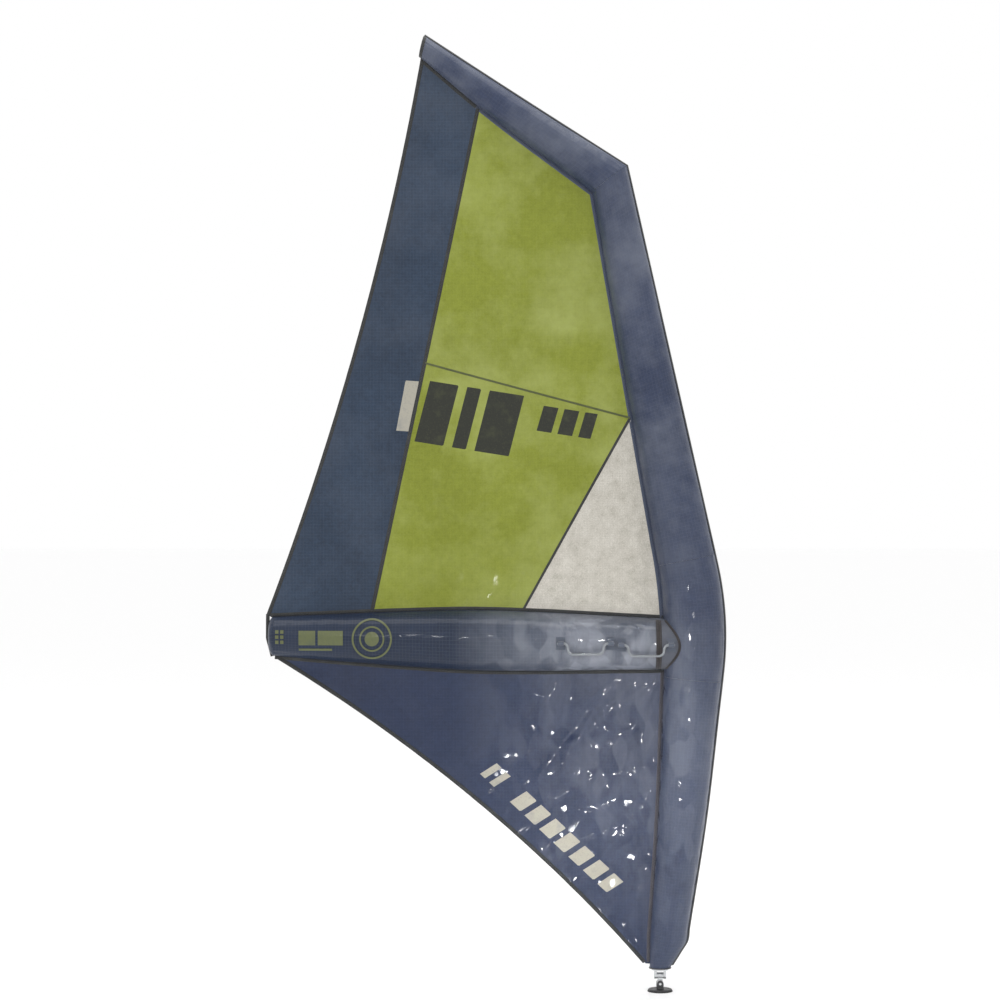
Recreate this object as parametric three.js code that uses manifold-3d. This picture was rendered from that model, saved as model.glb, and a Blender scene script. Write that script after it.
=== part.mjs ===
// A child's inflatable windsurf rig: an inflated mast that bends at the boom and kinks into a head spar,
// an inflated boom in the plane of the sail, a five-panel sail sewn between them, swinging hand loops,
// an inflation valve, and a mast foot with a two-axis joint. Millimetres, +Z up, +X towards the mast,
// origin under the middle of the foot's deck pad. The sail lies near the plane y = 0.
import * as THREE from "three";
import { mergeVertices } from "three/addons/utils/BufferGeometryUtils.js";
import Module from "manifold-3d";

const wasm = await Module();
wasm.setup();

// ---------- driving dimensions ----------
const GAP = 0.3; // between pieces that touch
const RUNNING = 0.1; // round a pin that turns or slides in its hole
const TACK_Z = 58; // height of the rig's lowest edge over the deck
const SIDES = 20; // facets round an inflated tube
const SLEEVE_WALL = 1;
const BLADDER_WALL = 0.5;
const CLOTH = 2; // thickness of a sail panel
const PATCH_THICK = 1.8;
const SEAM_THICK = 4;
const BROAD_SEAM = 9; // width of the leech and foot bindings and the seam beside the leech
const TUBE_SEAM = 7; // of the seams along the tubes
const FINE_SEAM = 5; // of the seams inside the sail
const STRIP_PROUD = 4; // the rub strip on the front of the mast
const STRIP_WIDTH = 16;

// Sail plan points are [x, h], with h the height over the tack.
const BASE_RADIUS = 25; // of the mast's bottom end
const MAST_BELLY = 3.5; // extra radius in the middle of the bend
const MAST_FOOT = { at: [19.5, 65], radius: 43.5 };
const MAST_LOW_MIDDLE = { at: [51.5, 353], radius: 56.5 };
const BEND_START = { at: [78, 689], radius: 69.5 };
const KNEE = [91.4, 832]; // where the two straight axes of the mast would cross
const BEND_END = { at: [62.7, 975], radius: 69.5 };
const CORNER = { at: [-121, 1890], reach: [41, 32], half: 49 }; // the mitre between mast and head spar
const HEAD_MIDDLE = { at: [-413, 2092], reach: [19.3, 30.4], half: 36 };
const HEAD_TIP = { at: [-571, 2209], reach: [6, 25], half: 22.5 };

const BOOM_FRONT = [20, 775]; // the boom's axis, mast end and clew end
const BOOM_REAR = [-925, 794];
const BOOM_RADII = [61, 66, 71, 72.5, 66, 57, 47]; // evenly spaced from mast to clew
const BOOM_CAP = 15; // how far the clew end bulges
const BOOM_STEPS = 9;
const BOOM_INTO_MAST = -0.04; // share of the boom's length that runs on into the mast before it is cut
const BEND_STEPS = 5;
const JOINT_PATCH_AFT = -4; // aft edge of the patch over the joint of boom and mast
const HEAD_CAP = { out: 3, reach: [4.8, 20], half: 18 }; // the closed end of the head spar

const CLEW_TOP = [-946, 842]; // corners and curves of the sail's free edges
const HEAD_CORNER = [-565, 2236];
const LEECH_HOLLOW = 36;
const CLEW_BOTTOM = [-931, 746];
const FOOT_CONTROL = [-403, 422];
const TACK = [-38, 5];
const LEECH_SEAM_TOP_X = -437;
const LEECH_SEAM_FOOT_X = -691;
const BODY_SEAM_LEECH_H = 1451;
const WINDOW_PEAK_H = 1318;
const WINDOW_FOOT_X = -328;
const LEECH_TOP_H = 2160; // where the leech meets the head spar's seam
const UPPER_DRAFT = 34; // depth of the sail's belly
const FOOT_DRAFT = 18;

const VALVE = { x: 71, h: 600, radius: 17, flange: 27 }; // on the port side of the mast
const HOSE = { h: 775, outer: 8.5, inner: 6.5, from: -46, to: 26 }; // between the two bladders
const HOSE_CLIP = { from: -9, to: -3, thick: 3 };
const HANDLE = { tab: 19, leg: 13, grip: 71, drop: 26, thick: 6, gripWidth: 18, offset: 10 };
const HANDLE_LENGTH = 2 * (HANDLE.tab + HANDLE.leg) + HANDLE.grip;
const HANDLES = [
  { name: "front", from: -104, h: 776 },
  { name: "rear", from: -248, h: 780 },
];
const ANCHOR = { length: HANDLE.tab - 5, wall: 3.5, play: 0.8, half: 15, margin: 4, stalk: 5 };
const SIDE_NAMES = [["starboard", -1], ["port", 1]];

const LOCK = { h: 31, radius: 3.5, boss: 8 }; // the sprung pin that holds the mast foot in
const SOCKET_DEPTH = 47; // in the mast base plug
const PLUG = { radius: 22, flange: 27, flangeThick: 2.5, top: 52 };
const PIN_RADIUS = 10;
const GROOVE = { deep: 2.2, half: 4.5 }; // round the swivel pin, for the lock pin
const DECK_RADIUS = 29;
const PAD_THICK = 2;
const PLATE_TOP = 6;
const SCREW = { x: 20, radius: 2.7 }; // clearance holes for the two screws into the board
const YOKE_RADIUS = 20;
const YOKE_TOP = TACK_Z - PLUG.flangeThick - GAP;
const YOKE_UNDER = YOKE_TOP - 4;
const FORE_AFT_AXIS_Z = 19;
const SIDE_AXIS_Z = 38;
const AXLE_RADIUS = 3;
const HUB = { radius: 7.5, half: 8 };
const EAR = { radius: 8, inner: HUB.half + GAP, outer: 14 };

// ---------- small helpers ----------
const V = (x, y, z) => new THREE.Vector3(x, y, z);
const mix = (a, b, t) => a + (b - a) * t;
const mixPoint = (a, b, t) => [mix(a[0], b[0], t), mix(a[1], b[1], t)];
const range = (n) => [...Array(n).keys()];
const unit = ([x, h]) => [x / Math.hypot(x, h), h / Math.hypot(x, h)];

// Where a line through points sorted by one coordinate passes at a given value of it.
function along(points, value, from, to) {
  const sorted = [...points].sort((a, b) => a[from] - b[from]);
  let i = 0;
  while (i < sorted.length - 2 && sorted[i + 1][from] < value) i += 1;
  const [a, b] = [sorted[i], sorted[i + 1]];
  return mix(a[to], b[to], (value - a[from]) / (b[from] - a[from]));
}

function geometryOf(points, faces) {
  const raw = new THREE.BufferGeometry().setFromPoints(points);
  raw.setIndex(faces.flat());
  return raw;
}

// A closed geometry as a solid, turned outside out if its faces point inwards.
function solid(geometry) {
  const bare = geometry.index ? geometry.toNonIndexed() : geometry.clone();
  bare.deleteAttribute("normal");
  bare.deleteAttribute("uv");
  const merged = mergeVertices(bare, 1e-3);
  const kept = [];
  for (let i = 0; i < merged.index.count; i += 3) {
    const [a, b, c] = [0, 1, 2].map((k) => merged.index.getX(i + k));
    if (a !== b && b !== c && a !== c) kept.push([a, b, c]);
  }
  const make = (faces) =>
    new wasm.Manifold(
      new wasm.Mesh({
        numProp: 3,
        vertProperties: merged.attributes.position.array,
        triVerts: new Uint32Array(faces.flat()),
      }),
    );
  const made = make(kept);
  return made.volume() > 0 ? made : make(kept.map(([a, b, c]) => [a, c, b]));
}

// Joins rings of points into a body: capped at both ends, or closed on itself as a shell is.
function loft(rings, closed = false) {
  const n = rings[0].length;
  const points = rings.flat();
  const faces = [];
  const last = closed ? rings.length : rings.length - 1;
  for (let r = 0; r < last; r += 1) {
    const next = (r + 1) % rings.length;
    for (let i = 0; i < n; i += 1) {
      const j = (i + 1) % n;
      faces.push([r * n + i, r * n + j, next * n + j], [r * n + i, next * n + j, next * n + i]);
    }
  }
  if (!closed) {
    for (const [r, turn] of [[0, 1], [rings.length - 1, -1]]) {
      const middle = points.length;
      points.push(rings[r].reduce((s, p) => s.add(p), V(0, 0, 0)).divideScalar(n));
      for (let i = 0; i < n; i += 1) {
        const j = (i + 1) % n;
        faces.push(turn > 0 ? [middle, r * n + j, r * n + i] : [middle, r * n + i, r * n + j]);
      }
    }
  }
  return solid(geometryOf(points, faces));
}

const cut = (body, ...tools) => tools.reduce((left, tool) => left.subtract(tool), body);
const join = (...bodies) => bodies.reduce((all, body) => all.add(body));
// The biggest piece of a body that cutting has left in several.
const mainPiece = (body) => body.decompose().reduce((a, b) => (b.volume() > a.volume() ? b : a));

function box(x0, x1, y0, y1, z0, z1) {
  const made = new THREE.BoxGeometry(x1 - x0, y1 - y0, z1 - z0);
  return solid(made.translate((x0 + x1) / 2, (y0 + y1) / 2, (z0 + z1) / 2));
}

// A turned piece from a profile of [radius, height] pairs, with its axis along X, Y or Z.
function turned(profile, axis, centre, sides = 20) {
  const ends = [...profile, profile[0]].map(([r, h]) => new THREE.Vector2(r, h));
  const made = new THREE.LatheGeometry(ends, sides);
  if (axis === "z") made.rotateX(Math.PI / 2);
  if (axis === "x") made.rotateZ(-Math.PI / 2);
  return solid(made.translate(...centre));
}

const rod = (radius, from, to, axis, centre, sides = 20) =>
  turned([[0, from], [radius, from], [radius, to], [0, to]], axis, centre, sides);
const ringOf = (outer, inner, from, to, axis, centre, sides = 20) =>
  turned([[inner, from], [outer, from], [outer, to], [inner, to]], axis, centre, sides);

// A coil spring of round wire, drawn along Z and then turned to lie along the axis asked for.
function coil(radius, wire, from, to, turns, axis, centre) {
  const steps = turns * 8;
  const path = range(steps + 1).map((i) => {
    const a = (i / 8) * 2 * Math.PI;
    return V(radius * Math.cos(a), radius * Math.sin(a), mix(from, to, i / steps));
  });
  const turn = new THREE.Matrix4();
  if (axis === "y") turn.makeRotationX(-Math.PI / 2);
  if (axis === "x") turn.makeRotationY(Math.PI / 2);
  const rings = path.map((p) => {
    const out = V(p.x, p.y, 0).normalize();
    return range(4).map((k) => {
      const a = (k / 4) * 2 * Math.PI;
      const point = p.clone().addScaledVector(out, wire * Math.cos(a)).add(V(0, 0, wire * Math.sin(a)));
      return point.applyMatrix4(turn).add(V(...centre));
    });
  });
  return loft(rings);
}

// ---------- inflated tubes ----------
// A station has a centre, a reach across the sail plane, and a half width.
const station = (at, reach, half) => ({ at, reach, half });
const square = ({ at, radius }, direction) => {
  const [dx, dh] = unit(direction);
  return station(at, [dh * radius, -dx * radius], radius);
};
const grown = (s, by) => {
  const length = Math.hypot(...s.reach);
  return station(s.at, s.reach.map((c) => (c * (length + by)) / length), s.half + by);
};
const between = (a, b, t) =>
  station(mixPoint(a.at, b.at, t), mixPoint(a.reach, b.reach, t), mix(a.half, b.half, t));
const ringAt = (s, sides = SIDES) =>
  range(sides).map((i) => {
    const a = (i / sides) * 2 * Math.PI;
    const [x, h] = s.at.map((c, k) => c + s.reach[k] * Math.cos(a));
    return V(x, s.half * Math.sin(a), TACK_Z + h);
  });
const tube = (stations, by = 0) => loft(stations.map((s) => ringAt(grown(s, by))));
const shell = (stations, wall) =>
  loft(
    [...stations.map((s) => ringAt(s)), ...[...stations].reverse().map((s) => ringAt(grown(s, -wall)))],
    true,
  );
// The tube's edge nearest the sail, or its outer edge, moved away from the tube by some extra.
const innerEdge = (s, extra) => grown(s, extra).at.map((c, k) => c - grown(s, extra).reach[k]);
const outerEdge = (s, extra) => grown(s, extra).at.map((c, k) => c + grown(s, extra).reach[k]);

function mastStations() {
  const lowerWay = [BEND_START.at[0] - MAST_FOOT.at[0], BEND_START.at[1] - MAST_FOOT.at[1]];
  const upperWay = [CORNER.at[0] - BEND_END.at[0], CORNER.at[1] - BEND_END.at[1]];
  const bend = range(BEND_STEPS - 1).map((i) => {
    const t = (i + 1) / BEND_STEPS;
    const at = mixPoint(mixPoint(BEND_START.at, KNEE, t), mixPoint(KNEE, BEND_END.at, t), t);
    const way = mixPoint(
      [KNEE[0] - BEND_START.at[0], KNEE[1] - BEND_START.at[1]],
      [BEND_END.at[0] - KNEE[0], BEND_END.at[1] - KNEE[1]],
      t,
    );
    const radius = mix(BEND_START.radius, BEND_END.radius, t) + MAST_BELLY * Math.sin(Math.PI * t);
    return square({ at, radius }, way);
  });
  return {
    lower: [
      station([0, 0], [BASE_RADIUS, 0], BASE_RADIUS),
      square(MAST_FOOT, lowerWay),
      square(MAST_LOW_MIDDLE, lowerWay),
      square(BEND_START, lowerWay),
    ],
    bend: [square(BEND_START, lowerWay), ...bend, square(BEND_END, upperWay)],
    upper: [square(BEND_END, upperWay), station(CORNER.at, CORNER.reach, CORNER.half)],
    head: [CORNER, HEAD_MIDDLE, HEAD_TIP].map((s) => station(s.at, s.reach, s.half)),
  };
}
const mast = mastStations();
const wholeMast = [...mast.lower, ...mast.bend.slice(1), ...mast.upper.slice(1)];
const airframe = [...wholeMast, ...mast.head.slice(1)];

const boomAxis = (t) => mixPoint(BOOM_FRONT, BOOM_REAR, t);
const boomRadius = (() => {
  const curve = new THREE.SplineCurve(BOOM_RADII.map((r, i) => new THREE.Vector2(i, r)));
  return (t) => curve.getPoint(THREE.MathUtils.clamp(t, 0, 1)).y;
})();
const boomShare = (x) => (x - BOOM_FRONT[0]) / (BOOM_REAR[0] - BOOM_FRONT[0]);
const boomTop = (x, extra = 0) => boomAxis(boomShare(x))[1] + boomRadius(boomShare(x)) + extra;
const boomBottom = (x, extra = 0) => boomAxis(boomShare(x))[1] - boomRadius(boomShare(x)) - extra;
const boomStations = range(BOOM_STEPS + 1).map((i) => {
  const t = mix(BOOM_INTO_MAST, 1, i / BOOM_STEPS);
  return station(boomAxis(t), [0, boomRadius(t)], boomRadius(t));
});

// ---------- the sail's surface ----------
const SEAM_OFF = TUBE_SEAM / 2 + 2 * GAP; // from a tube's surface to the middle of the seam beside it
const luffLine = [...mast.lower.slice(1), ...mast.bend.slice(1), ...mast.upper.slice(1)].map((s) =>
  innerEdge(s, SEAM_OFF),
);
luffLine.unshift([MAST_FOOT.at[0] - MAST_FOOT.radius - SEAM_OFF - 2, 0]);
const headLine = mast.head.map((s) => innerEdge(s, SEAM_OFF));
const luffX = (h) => along(luffLine, h, 1, 0);
const headH = (x) => along(headLine, x, 0, 1);

function leechX(h, inset = 0) {
  const t = (h - CLEW_TOP[1]) / (HEAD_CORNER[1] - CLEW_TOP[1]);
  return mix(CLEW_TOP[0], HEAD_CORNER[0], t) + 4 * LEECH_HOLLOW * t * (1 - t) + inset;
}
const footCurve = new THREE.QuadraticBezierCurve(
  ...[CLEW_BOTTOM, FOOT_CONTROL, TACK].map((p) => new THREE.Vector2(...p)),
);
const footLine = footCurve.getPoints(16).map((p) => [p.x, p.y]);
const footH = (x) => along(footLine, x, 0, 1);

// How far the cloth stands off the plane y = 0: nothing at the tubes, most in the middle.
function belly([x, h]) {
  const clamp = THREE.MathUtils.clamp;
  const top = boomTop(x);
  const back = leechX(clamp(h, CLEW_TOP[1], HEAD_CORNER[1]));
  const u = clamp((luffX(h) - x) / (luffX(h) - back), 0, 1);
  if (h > top) {
    const v = clamp((h - top) / (headH(x) - top), 0, 1);
    return UPPER_DRAFT * Math.sin(Math.PI * v) * Math.sin(0.86 * Math.PI * u ** 0.8);
  }
  const v = clamp((boomBottom(x) - h) / (boomBottom(x) - footH(x)), 0, 1);
  return FOOT_DRAFT * Math.sin(0.8 * Math.PI * v) * Math.sin(Math.PI * u);
}
const lift = ([x, h], off = 0) => V(x, belly([x, h]) + off, TACK_Z + h);

// A panel between four edges, each a function from 0 to 1 to a sail plan point.
function panel(left, right, bottom, top, columns, rows) {
  const corner = { a: bottom(0), b: bottom(1), c: top(0), d: top(1) };
  const grid = range(rows + 1).flatMap((r) =>
    range(columns + 1).map((c) => {
      const [u, v] = [c / columns, r / rows];
      return [0, 1].map((k) => {
        const sides = mix(left(v)[k], right(v)[k], u) + mix(bottom(u)[k], top(u)[k], v);
        return sides - mix(mix(corner.a[k], corner.b[k], u), mix(corner.c[k], corner.d[k], u), v);
      });
    }),
  );
  const row = columns + 1;
  const count = grid.length;
  const points = [-CLOTH / 2, CLOTH / 2].flatMap((off) => grid.map((p) => lift(p, off)));
  const faces = [];
  for (let r = 0; r < rows; r += 1)
    for (let c = 0; c < columns; c += 1) {
      const [a, b, d, e] = [r * row + c, r * row + c + 1, (r + 1) * row + c + 1, (r + 1) * row + c];
      faces.push([a, b, d], [a, d, e], [a + count, d + count, b + count], [a + count, e + count, d + count]);
    }
  const rim = [
    ...range(columns).map((c) => [c, c + 1]),
    ...range(rows).map((r) => [r * row + columns, (r + 1) * row + columns]),
    ...range(columns).map((c) => [rows * row + columns - c, rows * row + columns - c - 1]),
    ...range(rows).map((r) => [(rows - r) * row, (rows - r - 1) * row]),
  ];
  rim.forEach(([a, b]) => faces.push([a, b + count, b], [a, a + count, b + count]));
  return solid(geometryOf(points, faces));
}

// A flat strip along a line in the sail, and the same strip a little larger, to cut its neighbours with.
function strip(line, width, thickness = SEAM_THICK) {
  const rings = (w, t) =>
    line.map((p, i) => {
      const [a, b] = [line[Math.max(i - 1, 0)], line[Math.min(i + 1, line.length - 1)]];
      const [dx, dh] = unit([b[0] - a[0], b[1] - a[1]]);
      const y = belly(p);
      return [[-1, -1], [1, -1], [1, 1], [-1, 1]].map(([side, face]) =>
        V(p[0] - (dh * side * w) / 2, y + (face * t) / 2, TACK_Z + p[1] + (dx * side * w) / 2),
      );
    });
  return { body: loft(rings(width, thickness)), tool: loft(rings(width + 2 * GAP, thickness + 2 * GAP)) };
}
const trace = (f, from, to, steps) => range(steps + 1).map((i) => f(mix(from, to, i / steps)));

// ---------- the object ----------
const rig = new THREE.Group();
const finish = (color, roughness, metalness = 0) =>
  new THREE.MeshStandardMaterial({ color, roughness, metalness });
const LOOKS = {
  blue: finish(0x4a5872, 0.55),
  green: finish(0x8f9c3c, 0.5),
  window: finish(0xc4c0b2, 0.35),
  tape: finish(0x2b2d30, 0.7),
  patch: finish(0x3a3d44, 0.7),
  bladder: finish(0xb9c4c8, 0.4),
  webbing: finish(0x9a9fa6, 0.8),
  plastic: finish(0x1c1d20, 0.45),
  rubber: finish(0x161616, 0.85),
  steel: finish(0xb8bcc0, 0.3, 1),
};

function add(name, body, look) {
  const made = body.getMesh();
  const geometry = new THREE.BufferGeometry();
  const places = new Float32Array(made.numVert * 3);
  for (let i = 0; i < made.numVert; i += 1)
    places.set(made.vertProperties.subarray(i * made.numProp, i * made.numProp + 3), i * 3);
  geometry.setAttribute("position", new THREE.BufferAttribute(places, 3));
  geometry.setIndex(new THREE.BufferAttribute(new Uint32Array(made.triVerts), 1));
  geometry.computeVertexNormals();
  const mesh = new THREE.Mesh(geometry, LOOKS[look].clone());
  mesh.name = name;
  mesh.material.name = look;
  rig.add(mesh);
}

// ---------- mast, head spar and boom ----------
const mastTool = tube(airframe, GAP);
const boomTool = tube(boomStations, GAP);
// Skins over the boom, one on top of the other, to cut patches from.
const boomPatch = cut(tube(boomStations, PATCH_THICK), boomTool, mastTool);
const boomSecondPatch = cut(
  tube(boomStations, 2 * PATCH_THICK + GAP),
  tube(boomStations, PATCH_THICK + GAP),
  mastTool,
);

// The rounded clew end of the boom, and the same a little larger, to cut its neighbours with.
function clewEnd(by) {
  const [endX, endH] = BOOM_REAR;
  const dome = [[GAP, 1], [BOOM_CAP * 0.45, 0.95], [BOOM_CAP * 0.8, 0.8], [BOOM_CAP, 0.55]];
  const rings = dome.map(([out, share]) => {
    const radius = boomRadius(1) * share + by;
    return ringAt(station([endX - out - (out > GAP ? by : 0), endH], [0, radius], radius));
  });
  return loft(rings);
}
const capTool = clewEnd(GAP);

function addAirframe() {
  const valveHole = rod(VALVE.radius + GAP, 0, 120, "y", [VALVE.x, 0, TACK_Z + VALVE.h]);
  const lockHole = rod(LOCK.boss + GAP, 0, 60, "y", [0, 0, TACK_Z + LOCK.h]);
  const hoseHole = rod(HOSE.outer + 2, -60, 30, "x", [0, 0, TACK_Z + HOSE.h]);
  const shy = (stations) => {
    const share = (a, b) => (2 * GAP) / Math.hypot(b.at[0] - a.at[0], b.at[1] - a.at[1]);
    return [between(stations[0], stations[1], share(stations[0], stations[1])), ...stations.slice(1)];
  };
  add("mast_sleeve_lower", cut(shell(mast.lower, SLEEVE_WALL), valveHole, lockHole), "blue");
  add("mast_sleeve_bend", cut(shell(shy(mast.bend), SLEEVE_WALL), hoseHole), "blue");
  add("mast_sleeve_upper", shell(shy(mast.upper), SLEEVE_WALL), "blue");
  add("head_sleeve", shell(shy(mast.head), SLEEVE_WALL), "blue");
  const beyondTip = (out) => HEAD_TIP.at.map((c, k) => c + unit([-1, 0.4])[k] * out);
  const cap = [
    station(beyondTip(GAP), HEAD_TIP.reach, HEAD_TIP.half),
    station(beyondTip(HEAD_CAP.out), HEAD_CAP.reach, HEAD_CAP.half),
  ];
  add("head_end_cap", loft(cap.map((s) => ringAt(s))), "tape");

  add("boom_sleeve", cut(shell(boomStations, SLEEVE_WALL), mastTool), "blue");
  add("boom_end_cap", clewEnd(0), "blue");
}

// Bladders are air-tight bags inside the sleeves, open only where the valve or the hose goes in.
function addBladders() {
  const inset = -(SLEEVE_WALL + 2 * GAP);
  const low = between(mast.lower[1], mast.lower[2], 0.06);
  const tip = between(mast.head[1], mast.head[2], 0.94);
  const run = [low, ...mast.lower.slice(2), ...mast.bend.slice(1), ...mast.upper.slice(1), mast.head[1], tip];
  const inner = [between(low, mast.lower[2], 0.01), ...run.slice(1, -1), between(mast.head[1], tip, 0.98)];
  const valveHole = rod(VALVE.radius + GAP, 0, 120, "y", [VALVE.x, 0, TACK_Z + VALVE.h]);
  const hoseHole = rod(HOSE.outer + GAP, HOSE.from - 10, HOSE.to + 10, "x", [0, 0, TACK_Z + HOSE.h]);
  const mastHollow = tube(inner, inset - BLADDER_WALL);
  add("mast_bladder", cut(tube(run, inset), mastHollow, valveHole, hoseHole), "bladder");
  const last = 6;
  const boomRun = range(last + 1).map((i) => {
    const t = mix(0.036, 0.99, i / last);
    const radius = boomRadius(t) * (i === 0 || i === last ? 0.85 : 1);
    return station(boomAxis(t), [0, radius], radius);
  });
  const boomInner = [
    between(boomRun[0], boomRun[1], 0.02),
    ...boomRun.slice(1, -1),
    between(boomRun[last], boomRun[last - 1], 0.02),
  ];
  const boomHollow = tube(boomInner, inset - BLADDER_WALL);
  add("boom_bladder", cut(tube(boomRun, inset), boomHollow, hoseHole), "bladder");
  const centre = [0, 0, TACK_Z + HOSE.h];
  add("transfer_hose", ringOf(HOSE.outer, HOSE.inner, HOSE.from, HOSE.to, "x", centre), "bladder");
  const { from, to, thick } = HOSE_CLIP;
  add("hose_clip", ringOf(HOSE.outer + thick, HOSE.outer + GAP, from, to, "x", centre), "plastic");
}

function addRubStrips() {
  const profile = (s) => {
    const wide = STRIP_WIDTH / 2;
    const [low, high] = [outerEdge(s, 2 * GAP), outerEdge(s, STRIP_PROUD)];
    return [[low, -wide], [low, wide], [high, wide - 3], [high, 3 - wide]].map(([[x, h], y]) =>
      V(x, y, TACK_Z + h),
    );
  };
  const luff = [...wholeMast.slice(0, -1), between(wholeMast.at(-2), wholeMast.at(-1), 0.9995)];
  add("mast_rub_strip", loft(luff.map(profile)), "tape");
  add("head_rub_strip", loft(mast.head.map(profile)), "tape");
}

// D-shaped patches that cover the joint where the boom meets the mast, one on each side.
function addJointPatches() {
  for (const [side, sign] of SIDE_NAMES) {
    const [low, high] = [sign * 4, sign * 90].sort((a, b) => a - b);
    const face = boomPatch.intersect(box(JOINT_PATCH_AFT, 60, low, high, 700, 950));
    add(`boom_joint_patch_${side}`, mainPiece(face), "patch");
  }
}

// ---------- sail panels and seams ----------
function addSail() {
  const off = SEAM_OFF;
  const inset = BROAD_SEAM / 2 + GAP;
  const top = (x) => [x, boomTop(x, off)];
  const head = (x) => [x, headH(x)];
  const luff = (h) => [luffX(h), h];
  const leech = (h) => [leechX(h, inset), h];
  const foot = (t) => {
    const p = footCurve.getPoint(t);
    const way = footCurve.getTangent(t);
    return [p.x - way.y * inset, p.y + way.x * inset];
  };
  const leechSeamHead = head(LEECH_SEAM_TOP_X);
  const leechSeamFoot = top(LEECH_SEAM_FOOT_X);
  const leechSeam = (t) => mixPoint(leechSeamFoot, leechSeamHead, t);
  const splitShare = (BODY_SEAM_LEECH_H - leechSeamFoot[1]) / (leechSeamHead[1] - leechSeamFoot[1]);
  const split = leechSeam(splitShare);
  const peak = luff(WINDOW_PEAK_H);
  const windowFoot = top(WINDOW_FOOT_X);
  const cornerH = headLine[0][1];
  const luffTop = luff(cornerH);
  const boomMeet = luffX(boomTop(0, off));
  const clewX = leech(CLEW_TOP[1])[0];
  const clewH = boomTop(clewX, off);
  const boomFoot = (x) => [x, boomBottom(x, off)];
  const footMeet = luffX(boomBottom(0, off));

  const seams = {};
  const sew = (name, line, width, look, ...against) => {
    seams[name] = strip(line, width);
    const others = against.map((other) => seams[other].tool);
    add(name, mainPiece(cut(seams[name].body, mastTool, boomTool, capTool, ...others)), look);
  };
  const clewLine = [
    [CLEW_TOP[0] + 5, CLEW_TOP[1] + 5],
    [CLEW_TOP[0] + 4.5, BOOM_REAR[1] - 4],
    [CLEW_BOTTOM[0] + 1, CLEW_BOTTOM[1]],
  ];
  sew("clew_binding", clewLine, BROAD_SEAM, "tape");
  sew("leech_binding", trace(leech, CLEW_TOP[1], LEECH_TOP_H, 14), BROAD_SEAM, "tape", "clew_binding");
  sew("foot_binding", trace(foot, 0, 1, 14), BROAD_SEAM, "tape", "clew_binding");
  sew("mast_seam_upper", trace(luff, boomTop(0) - 8, cornerH, 8), TUBE_SEAM, "blue");
  sew("mast_seam_lower", trace(luff, 6, boomBottom(0) + 8, 6), TUBE_SEAM, "tape", "foot_binding");
  sew(
    "head_seam",
    trace(head, luffTop[0] + 1, leech(LEECH_TOP_H)[0] + 1, 6),
    TUBE_SEAM,
    "tape",
    "mast_seam_upper",
    "leech_binding",
  );
  sew(
    "boom_seam_upper",
    trace(top, clewX, boomMeet, 12),
    TUBE_SEAM,
    "tape",
    "mast_seam_upper",
    "leech_binding",
    "clew_binding",
  );
  sew(
    "boom_seam_lower",
    trace(boomFoot, foot(0)[0], footMeet, 12),
    TUBE_SEAM,
    "tape",
    "mast_seam_lower",
    "foot_binding",
    "clew_binding",
  );
  sew("leech_seam", trace(leechSeam, 0, 1, 10), BROAD_SEAM, "tape", "boom_seam_upper", "head_seam");
  sew(
    "body_seam",
    trace((t) => mixPoint(split, peak, t), 0, 1, 8),
    FINE_SEAM,
    "green",
    "leech_seam",
    "mast_seam_upper",
  );
  sew(
    "window_seam",
    trace((t) => mixPoint(windowFoot, peak, t), 0, 1, 8),
    FINE_SEAM,
    "tape",
    "boom_seam_upper",
    "mast_seam_upper",
    "body_seam",
  );
  const seamTools = Object.values(seams).map((seam) => seam.tool);
  const trim = (body) => mainPiece(cut(body, mastTool, boomTool, capTool, ...seamTools));
  const lay = (name, look, ...edges) => add(name, trim(panel(...edges)), look);
  const span = (f, a, b) => (t) => f(mix(a, b, t));
  lay(
    "leech_panel",
    "blue",
    span(leech, clewH, LEECH_TOP_H),
    leechSeam,
    span(top, clewX, LEECH_SEAM_FOOT_X),
    span(head, leech(LEECH_TOP_H)[0], LEECH_SEAM_TOP_X),
    3,
    12,
  );
  lay(
    "body_panel_upper",
    "green",
    span(leechSeam, splitShare, 1),
    span(luff, WINDOW_PEAK_H, cornerH),
    (t) => mixPoint(split, peak, t),
    span(head, LEECH_SEAM_TOP_X, luffTop[0]),
    5,
    6,
  );
  lay(
    "body_panel_lower",
    "green",
    span(leechSeam, 0, splitShare),
    (t) => mixPoint(windowFoot, peak, t),
    span(top, LEECH_SEAM_FOOT_X, WINDOW_FOOT_X),
    (t) => mixPoint(split, peak, t),
    5,
    6,
  );
  lay(
    "window_panel",
    "window",
    (t) => mixPoint(windowFoot, peak, t),
    span(luff, boomTop(0, off), WINDOW_PEAK_H),
    span(top, WINDOW_FOOT_X, boomMeet),
    () => peak,
    4,
    6,
  );
  lay(
    "foot_panel",
    "blue",
    () => foot(0),
    span(luff, foot(1)[1], boomBottom(0, off)),
    foot,
    span(boomFoot, foot(0)[0], footMeet),
    12,
    5,
  );
}

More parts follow.
